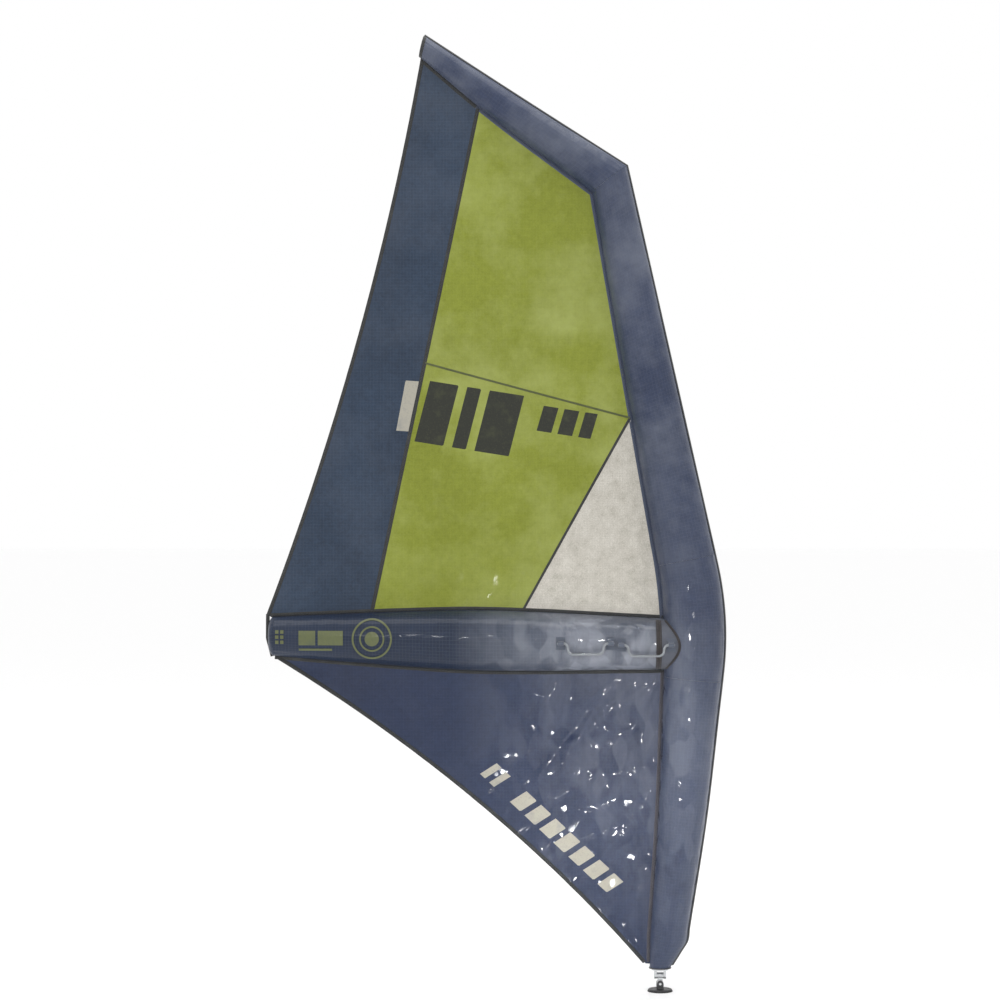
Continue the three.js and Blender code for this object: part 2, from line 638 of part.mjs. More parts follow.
// ---------- hand loops on the boom ----------
function handleRings(from, y, z) {
  const { tab, leg, drop, thick, gripWidth } = HANDLE;
  const half = thick / 2;
  const path = [
    [0, 0, half],
    [tab, 0, half],
    [tab + leg, -drop, half + 1],
    [tab + leg + 10, -drop, gripWidth / 2],
  ];
  const whole = [...path, ...[...path].reverse().map(([x, dz, wide]) => [HANDLE_LENGTH - x, dz, wide])];
  return whole.map(([x, dz, wide], i) => {
    const [a, b] = [whole[Math.max(i - 1, 0)], whole[Math.min(i + 1, whole.length - 1)]];
    const [dx, dh] = unit([b[0] - a[0], b[1] - a[1]]);
    return range(8).map((k) => {
      const turn = ((k + 0.5) / 8) * 2 * Math.PI;
      const [across, out] = [half * Math.cos(turn), wide * Math.sin(turn)];
      return V(from + x - dh * across, y + out, z + dz + dx * across);
    });
  });
}

// A patch sewn on the boom's side, with a stalk and a loop that holds one end of a hand loop.
function anchor(at, y, z, sign) {
  const { length, wall, play, half, margin, stalk } = ANCHOR;
  const loop = rod(HANDLE.thick / 2 + wall, 0, length, "x", [at, y, z], 16);
  const bore = rod(HANDLE.thick / 2 + play, -length, 2 * length, "x", [at, y, z], 16);
  const [near, far] = [y - sign * (HANDLE.offset + margin), y].sort((a, b) => a - b);
  const neck = box(at, at + length, near, far, z - stalk, z + stalk);
  // The boom's side, well clear of its middle.
  const [low, high] = [sign * 20, sign * 100].sort((a, b) => a - b);
  const onPatch = at > JOINT_PATCH_AFT - length;
  const skin = onPatch ? boomSecondPatch : boomPatch;
  const base = skin.intersect(box(at - margin, at + length + margin, low, high, z - half, z + half));
  const held = cut(neck, tube(boomStations, onPatch ? PATCH_THICK + GAP : GAP));
  return cut(join(base, held, loop), bore);
}

function addHandles() {
  for (const { name, from, h } of HANDLES)
    for (const [side, sign] of SIDE_NAMES) {
      const flank = boomRadius(boomShare(from + HANDLE_LENGTH / 2));
      const y = sign * (flank + HANDLE.offset);
      const z = TACK_Z + h;
      add(`handle_${name}_${side}`, loft(handleRings(from, y, z)), "webbing");
      const ends = [["aft", from + 1], ["fore", from + HANDLE_LENGTH - HANDLE.tab + 4]];
      for (const [end, at] of ends)
        add(`handle_${name}_${side}_anchor_${end}`, anchor(at, y, z, sign), "patch");
    }
}

// ---------- inflation valve, on the port side of the mast ----------
function addValve() {
  const { x, h, radius, flange } = VALVE;
  const [start, end] = mast.lower.slice(-2);
  const face = between(start, end, (h - start.at[1]) / (end.at[1] - start.at[1])).half;
  const centre = [x, face, TACK_Z + h];
  const mouth = 13;
  const guide = 3;
  const body = [
    [mouth, -16],
    [radius, -16],
    [radius, 2.5],
    [flange, 2.5],
    [flange, 5],
    [radius + 1, 6],
    [radius + 1, 8],
    [mouth + 1, 8],
    [mouth, -6],
    [guide, -6],
    [guide, -9],
    [mouth, -9],
  ];
  const airways = range(6).map((i) => {
    const turn = (i / 6) * 2 * Math.PI;
    return rod(2.4, -10, -5, "y", [x + 8 * Math.cos(turn), face, TACK_Z + h + 8 * Math.sin(turn)], 6);
  });
  const hinge = [x, face + 9, TACK_Z + h + flange - 3];
  const knuckle = 3;
  const hingePin = 1.4;
  const pinHole = rod(hingePin + RUNNING, -20, 20, "x", hinge);
  const ears = [-10, 6.6].map((from) =>
    join(
      rod(knuckle, from, from + 3.4, "x", hinge, 12),
      box(x + from, x + from + 3.4, face + 4, face + 9, hinge[2] - knuckle, hinge[2] + knuckle),
    ),
  );
  add("valve_body", cut(join(turned(body, "y", centre, 24), ...ears), pinHole, ...airways), "plastic");
  add("valve_back_nut", ringOf(flange - 2, radius + GAP, -14, -9, "y", centre, 24), "plastic");
  const plunger = [
    [0, -11.5],
    [mouth - 1.5, -11.5],
    [mouth - 1.5, -9.3],
    [guide - GAP, -9.3],
    [guide - GAP, 2],
    [6.5, 2],
    [6.5, 4],
    [0, 4],
  ];
  add("valve_plunger", turned(plunger, "y", centre), "plastic");
  add("valve_spring", coil(4.8, 0.7, -5.2, 1.2, 4, "y", centre), "steel");
  const cap = [
    [0, 8.4],
    [radius + 2, 8.4],
    [radius + 2, 11],
    [radius, 13],
    [0, 13],
  ];
  const tongue = box(x - 6, x + 6, face + 8.4, face + 11.4, TACK_Z + h + radius, hinge[2]);
  const hingeBarrel = rod(knuckle, -6, 6, "x", hinge, 12);
  add("valve_cap", cut(join(turned(cap, "y", centre, 24), tongue, hingeBarrel), pinHole), "plastic");
  add("valve_hinge_pin", rod(hingePin, -10, 10, "x", hinge), "steel");
}

// ---------- mast foot ----------
// Two ears with rounded ends that reach from a plate to an axle, and the hole for the axle.
function ears(axis, axleZ, plateZ) {
  const made = [-1, 1].map((sign) => {
    const [from, to] = [sign * EAR.inner, sign * EAR.outer].sort((a, b) => a - b);
    const [low, high] = [axleZ, plateZ].sort((a, b) => a - b);
    const round = rod(EAR.radius, from, to, axis, [0, 0, axleZ]);
    const web =
      axis === "x"
        ? box(from, to, -EAR.radius, EAR.radius, low, high)
        : box(-EAR.radius, EAR.radius, from, to, low, high);
    return join(round, web);
  });
  return cut(join(...made), rod(AXLE_RADIUS + RUNNING, -40, 40, axis, [0, 0, axleZ]));
}

function addFoot() {
  const tack = [0, 0, TACK_Z];
  const lock = [0, 0, TACK_Z + LOCK.h];
  const seat = PIN_RADIUS + RUNNING;
  const plug = [
    [seat, -PLUG.flangeThick],
    [PLUG.flange, -PLUG.flangeThick],
    [PLUG.flange, -GAP],
    [PLUG.radius, -GAP],
    [PLUG.radius, PLUG.top],
    [0, PLUG.top],
    [0, SOCKET_DEPTH],
    [seat, SOCKET_DEPTH],
  ];
  const boss = rod(LOCK.boss, 15, 39, "y", lock, 20);
  const socket = rod(seat, -5, SOCKET_DEPTH, "z", tack, 36);
  const lockBore = rod(LOCK.radius + RUNNING, 0, 60, "y", lock);
  const springBore = rod(6, 16, 27, "y", lock, 16);
  const plugBody = join(turned(plug, "z", tack, 36), boss);
  add("mast_base_plug", cut(plugBody, socket, lockBore, springBore), "plastic");
  const knob = [
    [0, 8.4],
    [LOCK.radius, 8.4],
    [LOCK.radius, 16.5],
    [5, 16.5],
    [5, 18],
    [LOCK.radius, 18],
    [LOCK.radius, 41],
    [8, 41],
    [9, 43],
    [9, 47],
    [7, 49],
    [0, 49],
  ];
  add("lock_pin", turned(knob, "y", lock), "steel");
  add("lock_spring", coil(4.8, 0.6, 19, 26.2, 4, "y", lock), "steel");

  // The pin that the rig turns on, in one piece with the yoke under it; a groove takes the lock pin.
  const pin = [
    [0, YOKE_UNDER - TACK_Z],
    [YOKE_RADIUS, YOKE_UNDER - TACK_Z],
    [YOKE_RADIUS, YOKE_TOP - TACK_Z],
    [PIN_RADIUS, YOKE_TOP - TACK_Z],
    [PIN_RADIUS, LOCK.h - GROOVE.half],
    [PIN_RADIUS - GROOVE.deep, LOCK.h - GROOVE.half],
    [PIN_RADIUS - GROOVE.deep, LOCK.h + GROOVE.half],
    [PIN_RADIUS, LOCK.h + GROOVE.half],
    [PIN_RADIUS - 2, SOCKET_DEPTH - 1],
    [0, SOCKET_DEPTH - 1],
  ];
  const swivel = join(turned(pin, "z", tack, 36), ears("x", SIDE_AXIS_Z, YOKE_UNDER + 1));
  add("swivel_pin_yoke", swivel, "steel");

  const sideHub = rod(HUB.radius, -HUB.half, HUB.half, "x", [0, 0, SIDE_AXIS_Z]);
  const foreHub = rod(HUB.radius, -HUB.half, HUB.half, "y", [0, 0, FORE_AFT_AXIS_Z]);
  const stem = box(-6, 6, -6, 6, FORE_AFT_AXIS_Z, SIDE_AXIS_Z);
  const link = cut(
    join(sideHub, foreHub, stem),
    rod(AXLE_RADIUS + RUNNING, -20, 20, "x", [0, 0, SIDE_AXIS_Z]),
    rod(AXLE_RADIUS + RUNNING, -20, 20, "y", [0, 0, FORE_AFT_AXIS_Z]),
  );
  add("joint_link", link, "steel");
  for (const [name, axis, z] of [["side", "x", SIDE_AXIS_Z], ["fore_aft", "y", FORE_AFT_AXIS_Z]]) {
    add(`joint_axle_${name}`, rod(AXLE_RADIUS, -EAR.outer, EAR.outer, axis, [0, 0, z]), "steel");
  }
  const screwHoles = [-1, 1].map((sign) => rod(SCREW.radius, -1, 20, "z", [sign * SCREW.x, 0, 0], 12));
  const plate = [
    [0, PAD_THICK + GAP],
    [DECK_RADIUS, PAD_THICK + GAP],
    [DECK_RADIUS, PLATE_TOP - 1.5],
    [DECK_RADIUS - 2, PLATE_TOP],
    [0, PLATE_TOP],
  ];
  const yoke = join(turned(plate, "z", [0, 0, 0], 36), ears("y", FORE_AFT_AXIS_Z, PLATE_TOP - 1));
  add("deck_yoke", cut(yoke, ...screwHoles), "plastic");
  add("deck_pad", cut(rod(DECK_RADIUS + 1, 0, PAD_THICK, "z", [0, 0, 0], 36), ...screwHoles), "rubber");
}

addAirframe();
addBladders();
addRubStrips();
addJointPatches();
addSail();
addHandles();
addValve();
addFoot();

export default rig;
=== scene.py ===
"""The looks of a child's inflatable windsurf rig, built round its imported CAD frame.

Metres, +Z up, +X from the clew towards the mast, +Y to port. Plan points are (x, h), with h the height
over the tack, so z = h + TACK_Z. Arrays of plan points have x in column 0 and h in column 1.
"""

import math

import bpy
import numpy as np
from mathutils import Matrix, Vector, noise
from mathutils.geometry import delaunay_2d_cdt


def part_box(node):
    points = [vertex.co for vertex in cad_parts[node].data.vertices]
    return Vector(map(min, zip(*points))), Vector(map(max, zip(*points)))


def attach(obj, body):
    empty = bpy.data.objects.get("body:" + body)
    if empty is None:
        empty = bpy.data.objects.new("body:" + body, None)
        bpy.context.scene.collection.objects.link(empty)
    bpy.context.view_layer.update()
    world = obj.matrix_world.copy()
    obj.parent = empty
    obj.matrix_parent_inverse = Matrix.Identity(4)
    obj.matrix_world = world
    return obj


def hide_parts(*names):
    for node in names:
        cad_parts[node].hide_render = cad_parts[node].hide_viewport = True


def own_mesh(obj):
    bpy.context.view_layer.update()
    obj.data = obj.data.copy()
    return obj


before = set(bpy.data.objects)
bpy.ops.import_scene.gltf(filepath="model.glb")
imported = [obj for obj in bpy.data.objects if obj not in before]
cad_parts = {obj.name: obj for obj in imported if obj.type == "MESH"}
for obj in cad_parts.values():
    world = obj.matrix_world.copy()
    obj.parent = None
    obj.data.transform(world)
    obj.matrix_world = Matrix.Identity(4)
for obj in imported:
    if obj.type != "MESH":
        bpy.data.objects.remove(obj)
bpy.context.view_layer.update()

# ---------- sizes shared with the CAD ----------
TACK_Z = 0.058
TUBE_SEAM = 0.007  # widths of the tapes
BROAD_SEAM = 0.009
FINE_SEAM = 0.005
GAP = 0.0003
SEAM_OFF = TUBE_SEAM / 2 + 2 * GAP  # from a tube's surface to the middle of the seam beside it
EDGE_OFF = 0.0006  # from a tube's surface to the edge of the cloth under that seam

BASE_RADIUS = 0.025
MAST_FOOT = (0.0195, 0.065)
MAST_LOW_MIDDLE = (0.0515, 0.353)
BEND_START = (0.078, 0.689)
KNEE = (0.0914, 0.832)
BEND_END = (0.0627, 0.975)
FOOT_RADIUS, LOW_MIDDLE_RADIUS, BEND_RADIUS, BEND_BELLY = 0.0435, 0.0565, 0.0695, 0.0035
CORNER = (-0.121, 1.890, 0.041, 0.032, 0.049)  # x, h, reach in x, reach in h, half width
HEAD_MIDDLE = (-0.413, 2.092, 0.0193, 0.0304, 0.036)
HEAD_TIP = (-0.571, 2.209, 0.006, 0.025, 0.0225)

BOOM_FRONT = (0.020, 0.775)
BOOM_REAR = (-0.925, 0.794)
BOOM_RADII = (0.061, 0.066, 0.071, 0.0725, 0.066, 0.057, 0.047)
BOOM_CAP = 0.015
JOINT_PATCH_AFT = -0.012
JOINT_BAND = 0.013  # width of the dark band along the joint patch's aft edge

CLEW_TOP = (-0.946, 0.842)
HEAD_CORNER = (-0.565, 2.236)
LEECH_HOLLOW = 0.036
CLEW_BOTTOM = (-0.931, 0.746)
FOOT_CONTROL = (-0.403, 0.422)
TACK = (-0.038, 0.005)
LEECH_SEAM_TOP_X = -0.437
LEECH_SEAM_FOOT_X = -0.691
BODY_SEAM_LEECH_H = 1.451
WINDOW_PEAK_H = 1.318
WINDOW_FOOT_X = -0.328
UPPER_DRAFT, FOOT_DRAFT = 0.034, 0.018

HANDLE_LENGTH, HANDLE_TAB, HANDLE_LEG = 0.135, 0.019, 0.013
HANDLE_DROP, HANDLE_THICK, HANDLE_WIDTH, HANDLE_OFFSET = 0.026, 0.006, 0.018, 0.010
HANDLES = (("front", -0.104, 0.776), ("rear", -0.248, 0.780))  # name, aft end, height
SIDES = (("starboard", -1), ("port", 1))

# ---------- fineness of the meshes ----------
CLOTH_PITCH = 0.0052
TUBE_PITCH = 0.006
TUBE_SIDES = 96
CLOTH_THICK = 0.0008
VALVE_CLEAR = 0.024  # radius left open in the mast's cloth behind the valve's flange
TAPE_THICK = 0.0022


# ---------- curves in the plan ----------
def spline(rows, pitch):
    """Rows of numbers a pitch apart on a smooth curve through the given rows. The first two are a place."""
    rows = np.array(rows, float)
    at = np.concatenate([[0], np.cumsum(np.hypot(*np.diff(rows[:, :2], axis=0).T))])
    slope = np.gradient(rows, at, axis=0)
    places = np.linspace(0, at[-1], max(3, round(at[-1] / pitch) + 1))
    i = np.clip(np.searchsorted(at, places, side="right") - 1, 0, len(at) - 2)
    width = (at[i + 1] - at[i])[:, None]
    t = (places[:, None] - at[i][:, None]) / width
    start = (1 + 2 * t) * (1 - t) ** 2 * rows[i] + t * (1 - t) ** 2 * width * slope[i]
    return start + t * t * (3 - 2 * t) * rows[i + 1] + t * t * (t - 1) * width * slope[i + 1]


def mix(a, b, t):
    return a + (b - a) * t


def straight(a, b, count):
    """Points from a to b, both included."""
    return np.array([mix(np.array(a, float), np.array(b, float), t) for t in np.linspace(0, 1, count)])


def length_along(points):
    steps = np.linalg.norm(np.diff(points, axis=0), axis=1)
    return np.concatenate([[0], np.cumsum(steps)])


def unit(rows):
    """Each row scaled to a length of one."""
    return rows / np.linalg.norm(rows, axis=1, keepdims=True)


def square_to(outs, ways):
    """The part of each direction in outs that is at right angles to its row in ways."""
    share = np.sum(outs * ways, axis=1) / np.sum(ways * ways, axis=1)
    return outs - ways * share[:, None]


def turns_round(count):
    """Even angles round a full turn."""
    return np.linspace(0, 2 * math.pi, count, endpoint=False)


def resample(line, pitch):
    """A polyline with its points about a pitch apart, its ends kept."""
    at = length_along(line)
    places = np.linspace(0, at[-1], max(2, round(at[-1] / pitch) + 1))
    return np.column_stack([np.interp(places, at, line[:, k]) for k in range(line.shape[1])])


def smooth_step(value, low, high):
    t = np.clip((value - low) / (high - low), 0, 1)
    return t * t * (3 - 2 * t)


# ---------- the tubes' stations: x, h, reach in x, reach in h, half width ----------
def square_station(at, radius, way):
    """A round section at right angles to the way the tube goes."""
    dx, dh = np.array(way, float) / np.hypot(*way)
    return np.array([at[0], at[1], dh * radius, -dx * radius, radius])


def tube_stations():
    """The stations of the mast's three parts and of the head spar."""
    lower_way = np.subtract(BEND_START, MAST_FOOT)
    upper_way = np.subtract(CORNER[:2], BEND_END)
    base = np.array([0, 0, BASE_RADIUS, 0, BASE_RADIUS])
    foot = square_station(MAST_FOOT, FOOT_RADIUS, lower_way)
    middle = square_station(MAST_LOW_MIDDLE, LOW_MIDDLE_RADIUS, lower_way)
    start = square_station(BEND_START, BEND_RADIUS, lower_way)
    end = square_station(BEND_END, BEND_RADIUS, upper_way)
    bend = []
    for t in (0.2, 0.4, 0.6, 0.8):
        first = mix(np.array(BEND_START), np.array(KNEE), t)
        second = mix(np.array(KNEE), np.array(BEND_END), t)
        way = mix(np.subtract(KNEE, BEND_START), np.subtract(BEND_END, KNEE), t)
        radius = BEND_RADIUS + BEND_BELLY * math.sin(math.pi * t)
        bend.append(square_station(mix(first, second, t), radius, way))
    corner = np.array(CORNER)
    lower = [base, mix(base, foot, 0.7), foot, mix(foot, middle, 0.12), middle, mix(middle, start, 0.85)]
    whole = spline([*lower, start, *bend, end, mix(end, corner, 0.07), corner], TUBE_PITCH)
    first_cut = int(np.argmin(np.hypot(*(whole[:, :2] - start[:2]).T)))
    second_cut = int(np.argmin(np.hypot(*(whole[:, :2] - end[:2]).T)))
    return {
        "lower": whole[: first_cut + 1],
        "bend": whole[first_cut : second_cut + 1],
        "upper": whole[second_cut:],
        "head": spline([CORNER, HEAD_MIDDLE, HEAD_TIP], TUBE_PITCH),
    }


MAST = tube_stations()
WHOLE_MAST = np.vstack([MAST["lower"], MAST["bend"][1:], MAST["upper"][1:]])


def edge_of(stations, side, extra):
    """The plan line along one edge of a tube, moved off it by extra. Side -1 is the sail's side."""
    reach = stations[:, 2:4]
    long = np.linalg.norm(reach, axis=1, keepdims=True)
    return stations[:, :2] + side * reach * (long + extra) / long


def boom_axis_h(x):
    return mix(BOOM_FRONT[1], BOOM_REAR[1], boom_share(x))


def boom_share(x):
    return (x - BOOM_FRONT[0]) / (BOOM_REAR[0] - BOOM_FRONT[0])


BOOM_TABLE = spline([(i / 6, 0, radius) for i, radius in enumerate(BOOM_RADII)], 0.01)


def boom_radius(x):
    return np.interp(boom_share(x), BOOM_TABLE[:, 0], BOOM_TABLE[:, 2])


def boom_top(x, extra=0.0):
    return boom_axis_h(x) + boom_radius(x) + extra


def boom_bottom(x, extra=0.0):
    return boom_axis_h(x) - boom_radius(x) - extra


def mast_inside(x, y, h):
    """Below zero inside the mast, and about the distance to its surface outside, near the boom."""
    axis_x = np.interp(h, WHOLE_MAST[:, 1], WHOLE_MAST[:, 0])
    radius = np.interp(h, WHOLE_MAST[:, 1], WHOLE_MAST[:, 4])
    return np.hypot(x - axis_x, y) - radius


# ---------- the sail's outline and surface ----------
FREE_MAST = WHOLE_MAST[WHOLE_MAST[:, 1] > MAST_FOOT[1]]
LUFF = np.vstack([[MAST_FOOT[0] - FOOT_RADIUS - SEAM_OFF, 0], edge_of(FREE_MAST, -1, SEAM_OFF)])
HEAD = edge_of(MAST["head"], -1, SEAM_OFF)[::-1]


def luff_x(h):
    return np.interp(h, LUFF[:, 1], LUFF[:, 0])


def head_h(x):
    return np.interp(x, HEAD[:, 0], HEAD[:, 1])


def leech_x(h, inset=0.0):
    t = (h - CLEW_TOP[1]) / (HEAD_CORNER[1] - CLEW_TOP[1])
    return mix(CLEW_TOP[0], HEAD_CORNER[0], t) + 4 * LEECH_HOLLOW * t * (1 - t) + inset


def foot_curve(inset=0.0, count=241):
    """The foot's curve from clew to tack, moved up into the sail by the inset."""
    a, b, c = (np.array(p) for p in (CLEW_BOTTOM, FOOT_CONTROL, TACK))
    t = np.linspace(0, 1, count)[:, None]
    line = (1 - t) ** 2 * a + 2 * t * (1 - t) * b + t * t * c
    way = 2 * (1 - t) * (b - a) + 2 * t * (c - b)
    way = unit(way)
    return line + inset * np.column_stack([-way[:, 1], way[:, 0]])


FOOT = foot_curve()


def foot_h(x):
    return np.interp(x, FOOT[:, 0], FOOT[:, 1])


def belly(x, h):
    """How far the cloth stands to port of the plane y = 0."""
    top, bottom = boom_top(x), boom_bottom(x)
    back = leech_x(np.clip(h, CLEW_TOP[1], HEAD_CORNER[1]))
    u = np.clip((luff_x(h) - x) / (luff_x(h) - back), 0, 1)
    over = np.clip((h - top) / (head_h(x) - top), 0, 1)
    under = np.clip((bottom - h) / np.maximum(bottom - foot_h(x), 1e-3), 0, 1)
    upper = UPPER_DRAFT * np.sin(math.pi * over) * np.sin(0.86 * math.pi * u**0.8)
    lower = FOOT_DRAFT * np.sin(0.8 * math.pi * under) * np.sin(math.pi * u)
    return np.where(h > top, upper, lower)


LEECH_INSET = BROAD_SEAM / 2 + GAP


def leech_ends():
    """Where the sail's leech meets the boom's seam and the head's seam."""
    low, high = CLEW_TOP[1], HEAD_CORNER[1]
    for _ in range(30):
        low = float(boom_top(leech_x(low, LEECH_INSET), SEAM_OFF))
        high = float(head_h(leech_x(high, LEECH_INSET)))
    return float(leech_x(low, LEECH_INSET)), low, float(leech_x(high, LEECH_INSET)), high


# The sail's corners and the ends of its inner seams.
LEECH_SEAM = (
    (LEECH_SEAM_FOOT_X, float(boom_top(LEECH_SEAM_FOOT_X, SEAM_OFF))),
    (LEECH_SEAM_TOP_X, float(head_h(LEECH_SEAM_TOP_X))),
)
WINDOW_FOOT = (WINDOW_FOOT_X, float(boom_top(WINDOW_FOOT_X, SEAM_OFF)))
WINDOW_PEAK = (float(luff_x(WINDOW_PEAK_H)), WINDOW_PEAK_H)
BODY_SPLIT_X = np.interp(BODY_SEAM_LEECH_H, *np.array(LEECH_SEAM)[:, ::-1].T)
BODY_SPLIT = (float(BODY_SPLIT_X), BODY_SEAM_LEECH_H)
LUFF_TOP = (float(HEAD[-1, 0]), float(HEAD[-1, 1]))
BOOM_MEET_X = float(luff_x(boom_top(0.0, SEAM_OFF)))
FOOT_MEET_X = float(luff_x(boom_bottom(0.0, SEAM_OFF)))
CLEW_X, CLEW_H, HEAD_END_X, HEAD_END_H = leech_ends()

# Long folds pressed into the cloth when it is rolled up: from, to, width, height.
FOLDS = (
    ((-0.012, 0.755), (-0.150, 0.590), 0.013, 0.0092),
    ((-0.140, 0.650), (-0.320, 0.430), 0.013, 0.0092),
    ((-0.105, 0.655), (-0.075, 0.560), 0.012, 0.0078),
    ((-0.145, 0.640), (-0.215, 0.500), 0.013, -0.0086),
    ((-0.060, 0.630), (-0.020, 0.400), 0.015, 0.0086),
    ((-0.200, 0.600), (-0.120, 0.420), 0.013, 0.0078),
    ((-0.130, 0.640), (-0.170, 0.560), 0.011, 0.0074),
    ((-0.240, 0.690), (-0.300, 0.590), 0.012, -0.0080),
    ((-0.380, 1.290), (-0.240, 1.097), 0.010, 0.0034),
    ((-0.300, 1.620), (-0.200, 1.480), 0.012, 0.0036),
    ((-0.420, 1.960), (-0.340, 1.900), 0.009, 0.0030),
)


def along_and_off(x, h, a, b):
    """Each point's distance along a straight line and its distance off it, with the line's length."""
    a, b = np.array(a), np.array(b)
    long = float(np.linalg.norm(b - a))
    dx, dh = (b - a) / long
    return (x - a[0]) * dx + (h - a[1]) * dh, (h - a[1]) * dx - (x - a[0]) * dh, long


def noise_at(x, h, scale, seed):
    """Smooth noise from -1 to 1 at each plan point, with features about 1 / scale across."""
    return np.array([noise.noise(Vector((a * scale, b * scale, seed))) for a, b in zip(x, h)])


def facets_at(x, h, scale, seed):
    """The crumple of a pressed film: from 0 at the folds to 1 inside the flat facets between them."""
    made = []
    for a, b in zip(x, h):
        near = noise.voronoi(Vector((a * scale, b * scale, seed)))[0]
        made.append(min(near[1] - near[0], 0.5) * 2)
    return np.array(made)


def crumple_share(x, h):
    """How crumpled the cloth is: most below and just above the front of the boom."""
    return 0.13 + 0.87 * smooth_step(x, -0.55, -0.12) * smooth_step(-h, -1.15, -0.62)


def fan(x, h, corner, count, height, reach, seed):
    """Creases that run out of a corner where the sail is pulled."""
    r = np.hypot(x - corner[0], h - corner[1])
    turn = np.arctan2(h - corner[1], x - corner[0])
    wander = 0.9 * noise_at(x, h, 6.0, seed)
    return height * np.exp(-r / reach) * (1 - np.exp(-r / 0.06)) * np.sin(count * turn + wander)


def puckers(x, h, a, b, seed):
    """Small gathers along a straight seam, across the stitching."""
    s, d, long = along_and_off(x, h, a, b)
    inside = smooth_step(s, -0.01, 0.01) * smooth_step(long - s, -0.01, 0.01)
    strength = 0.6 + 0.4 * noise_at(x, h, 14.0, seed)
    return 0.0006 * inside * strength * np.exp(-np.abs(d) / 0.013) * np.sin(2 * math.pi * s / 0.026 + seed)


def fold(x, h, a, b, width, height):
    s, d, long = along_and_off(x, h, a, b)
    taper = smooth_step(s, 0, 0.3 * long) * smooth_step(long - s, 0, 0.3 * long)
    return height * taper / (1 + (d / width) ** 2)


def held_down(x, h):
    """0 where the cloth is sewn to a tube, 1 away from it."""
    above = np.where(h > boom_axis_h(x), h - boom_top(x, SEAM_OFF), boom_bottom(x, SEAM_OFF) - h)
    luff = luff_x(h) - x
    head = (head_h(x) - h) * 0.8
    nearest = np.minimum(np.minimum(above, luff), head)
    return smooth_step(nearest, 0.001, 0.035)


def wrinkles(x, h):
    """The cloth's creases, crumple and gathers, off its smooth belly."""
    crumpled = crumple_share(x, h)
    made = 0.0150 * crumpled * (facets_at(x, h, 7.0, 3.0) - 0.5) * noise_at(x, h, 5.0, 8.0)
    made += 0.0046 * crumpled * (facets_at(x, h, 17.0, 11.0) - 0.5)
    made += 0.0022 * noise_at(x, h, 4.0, 21.0) + 0.0008 * noise_at(x, h, 13.0, 31.0)
    made += fan(x, h, TACK, 14, 0.0024, 0.26, 41.0)
    made += fan(x, h, CLEW_TOP, 20, 0.0009, 0.22, 43.0)
    made += fan(x, h, CLEW_BOTTOM, 18, 0.0016, 0.22, 45.0)
    made += fan(x, h, (HEAD_END_X, HEAD_END_H), 18, 0.0008, 0.20, 47.0)
    made += fan(x, h, (BOOM_MEET_X, 0.845), 16, 0.0022, 0.20, 49.0)
    made += fan(x, h, (FOOT_MEET_X, 0.705), 16, 0.0026, 0.24, 51.0)
    made += fan(x, h, LUFF_TOP, 16, 0.0009, 0.16, 53.0)
    for a, b, width, height in FOLDS:
        made += fold(x, h, a, b, width, height)
    made *= held_down(x, h)
    made += puckers(x, h, *LEECH_SEAM, 1.0) + puckers(x, h, BODY_SPLIT, WINDOW_PEAK, 2.0)
    made += puckers(x, h, WINDOW_FOOT, WINDOW_PEAK, 3.0)
    return made


def sail_y(x, h):
    """The middle of the sail's cloth at each plan point."""
    x, h = np.atleast_1d(np.asarray(x, float)), np.atleast_1d(np.asarray(h, float))
    return belly(x, h) + wrinkles(x, h)


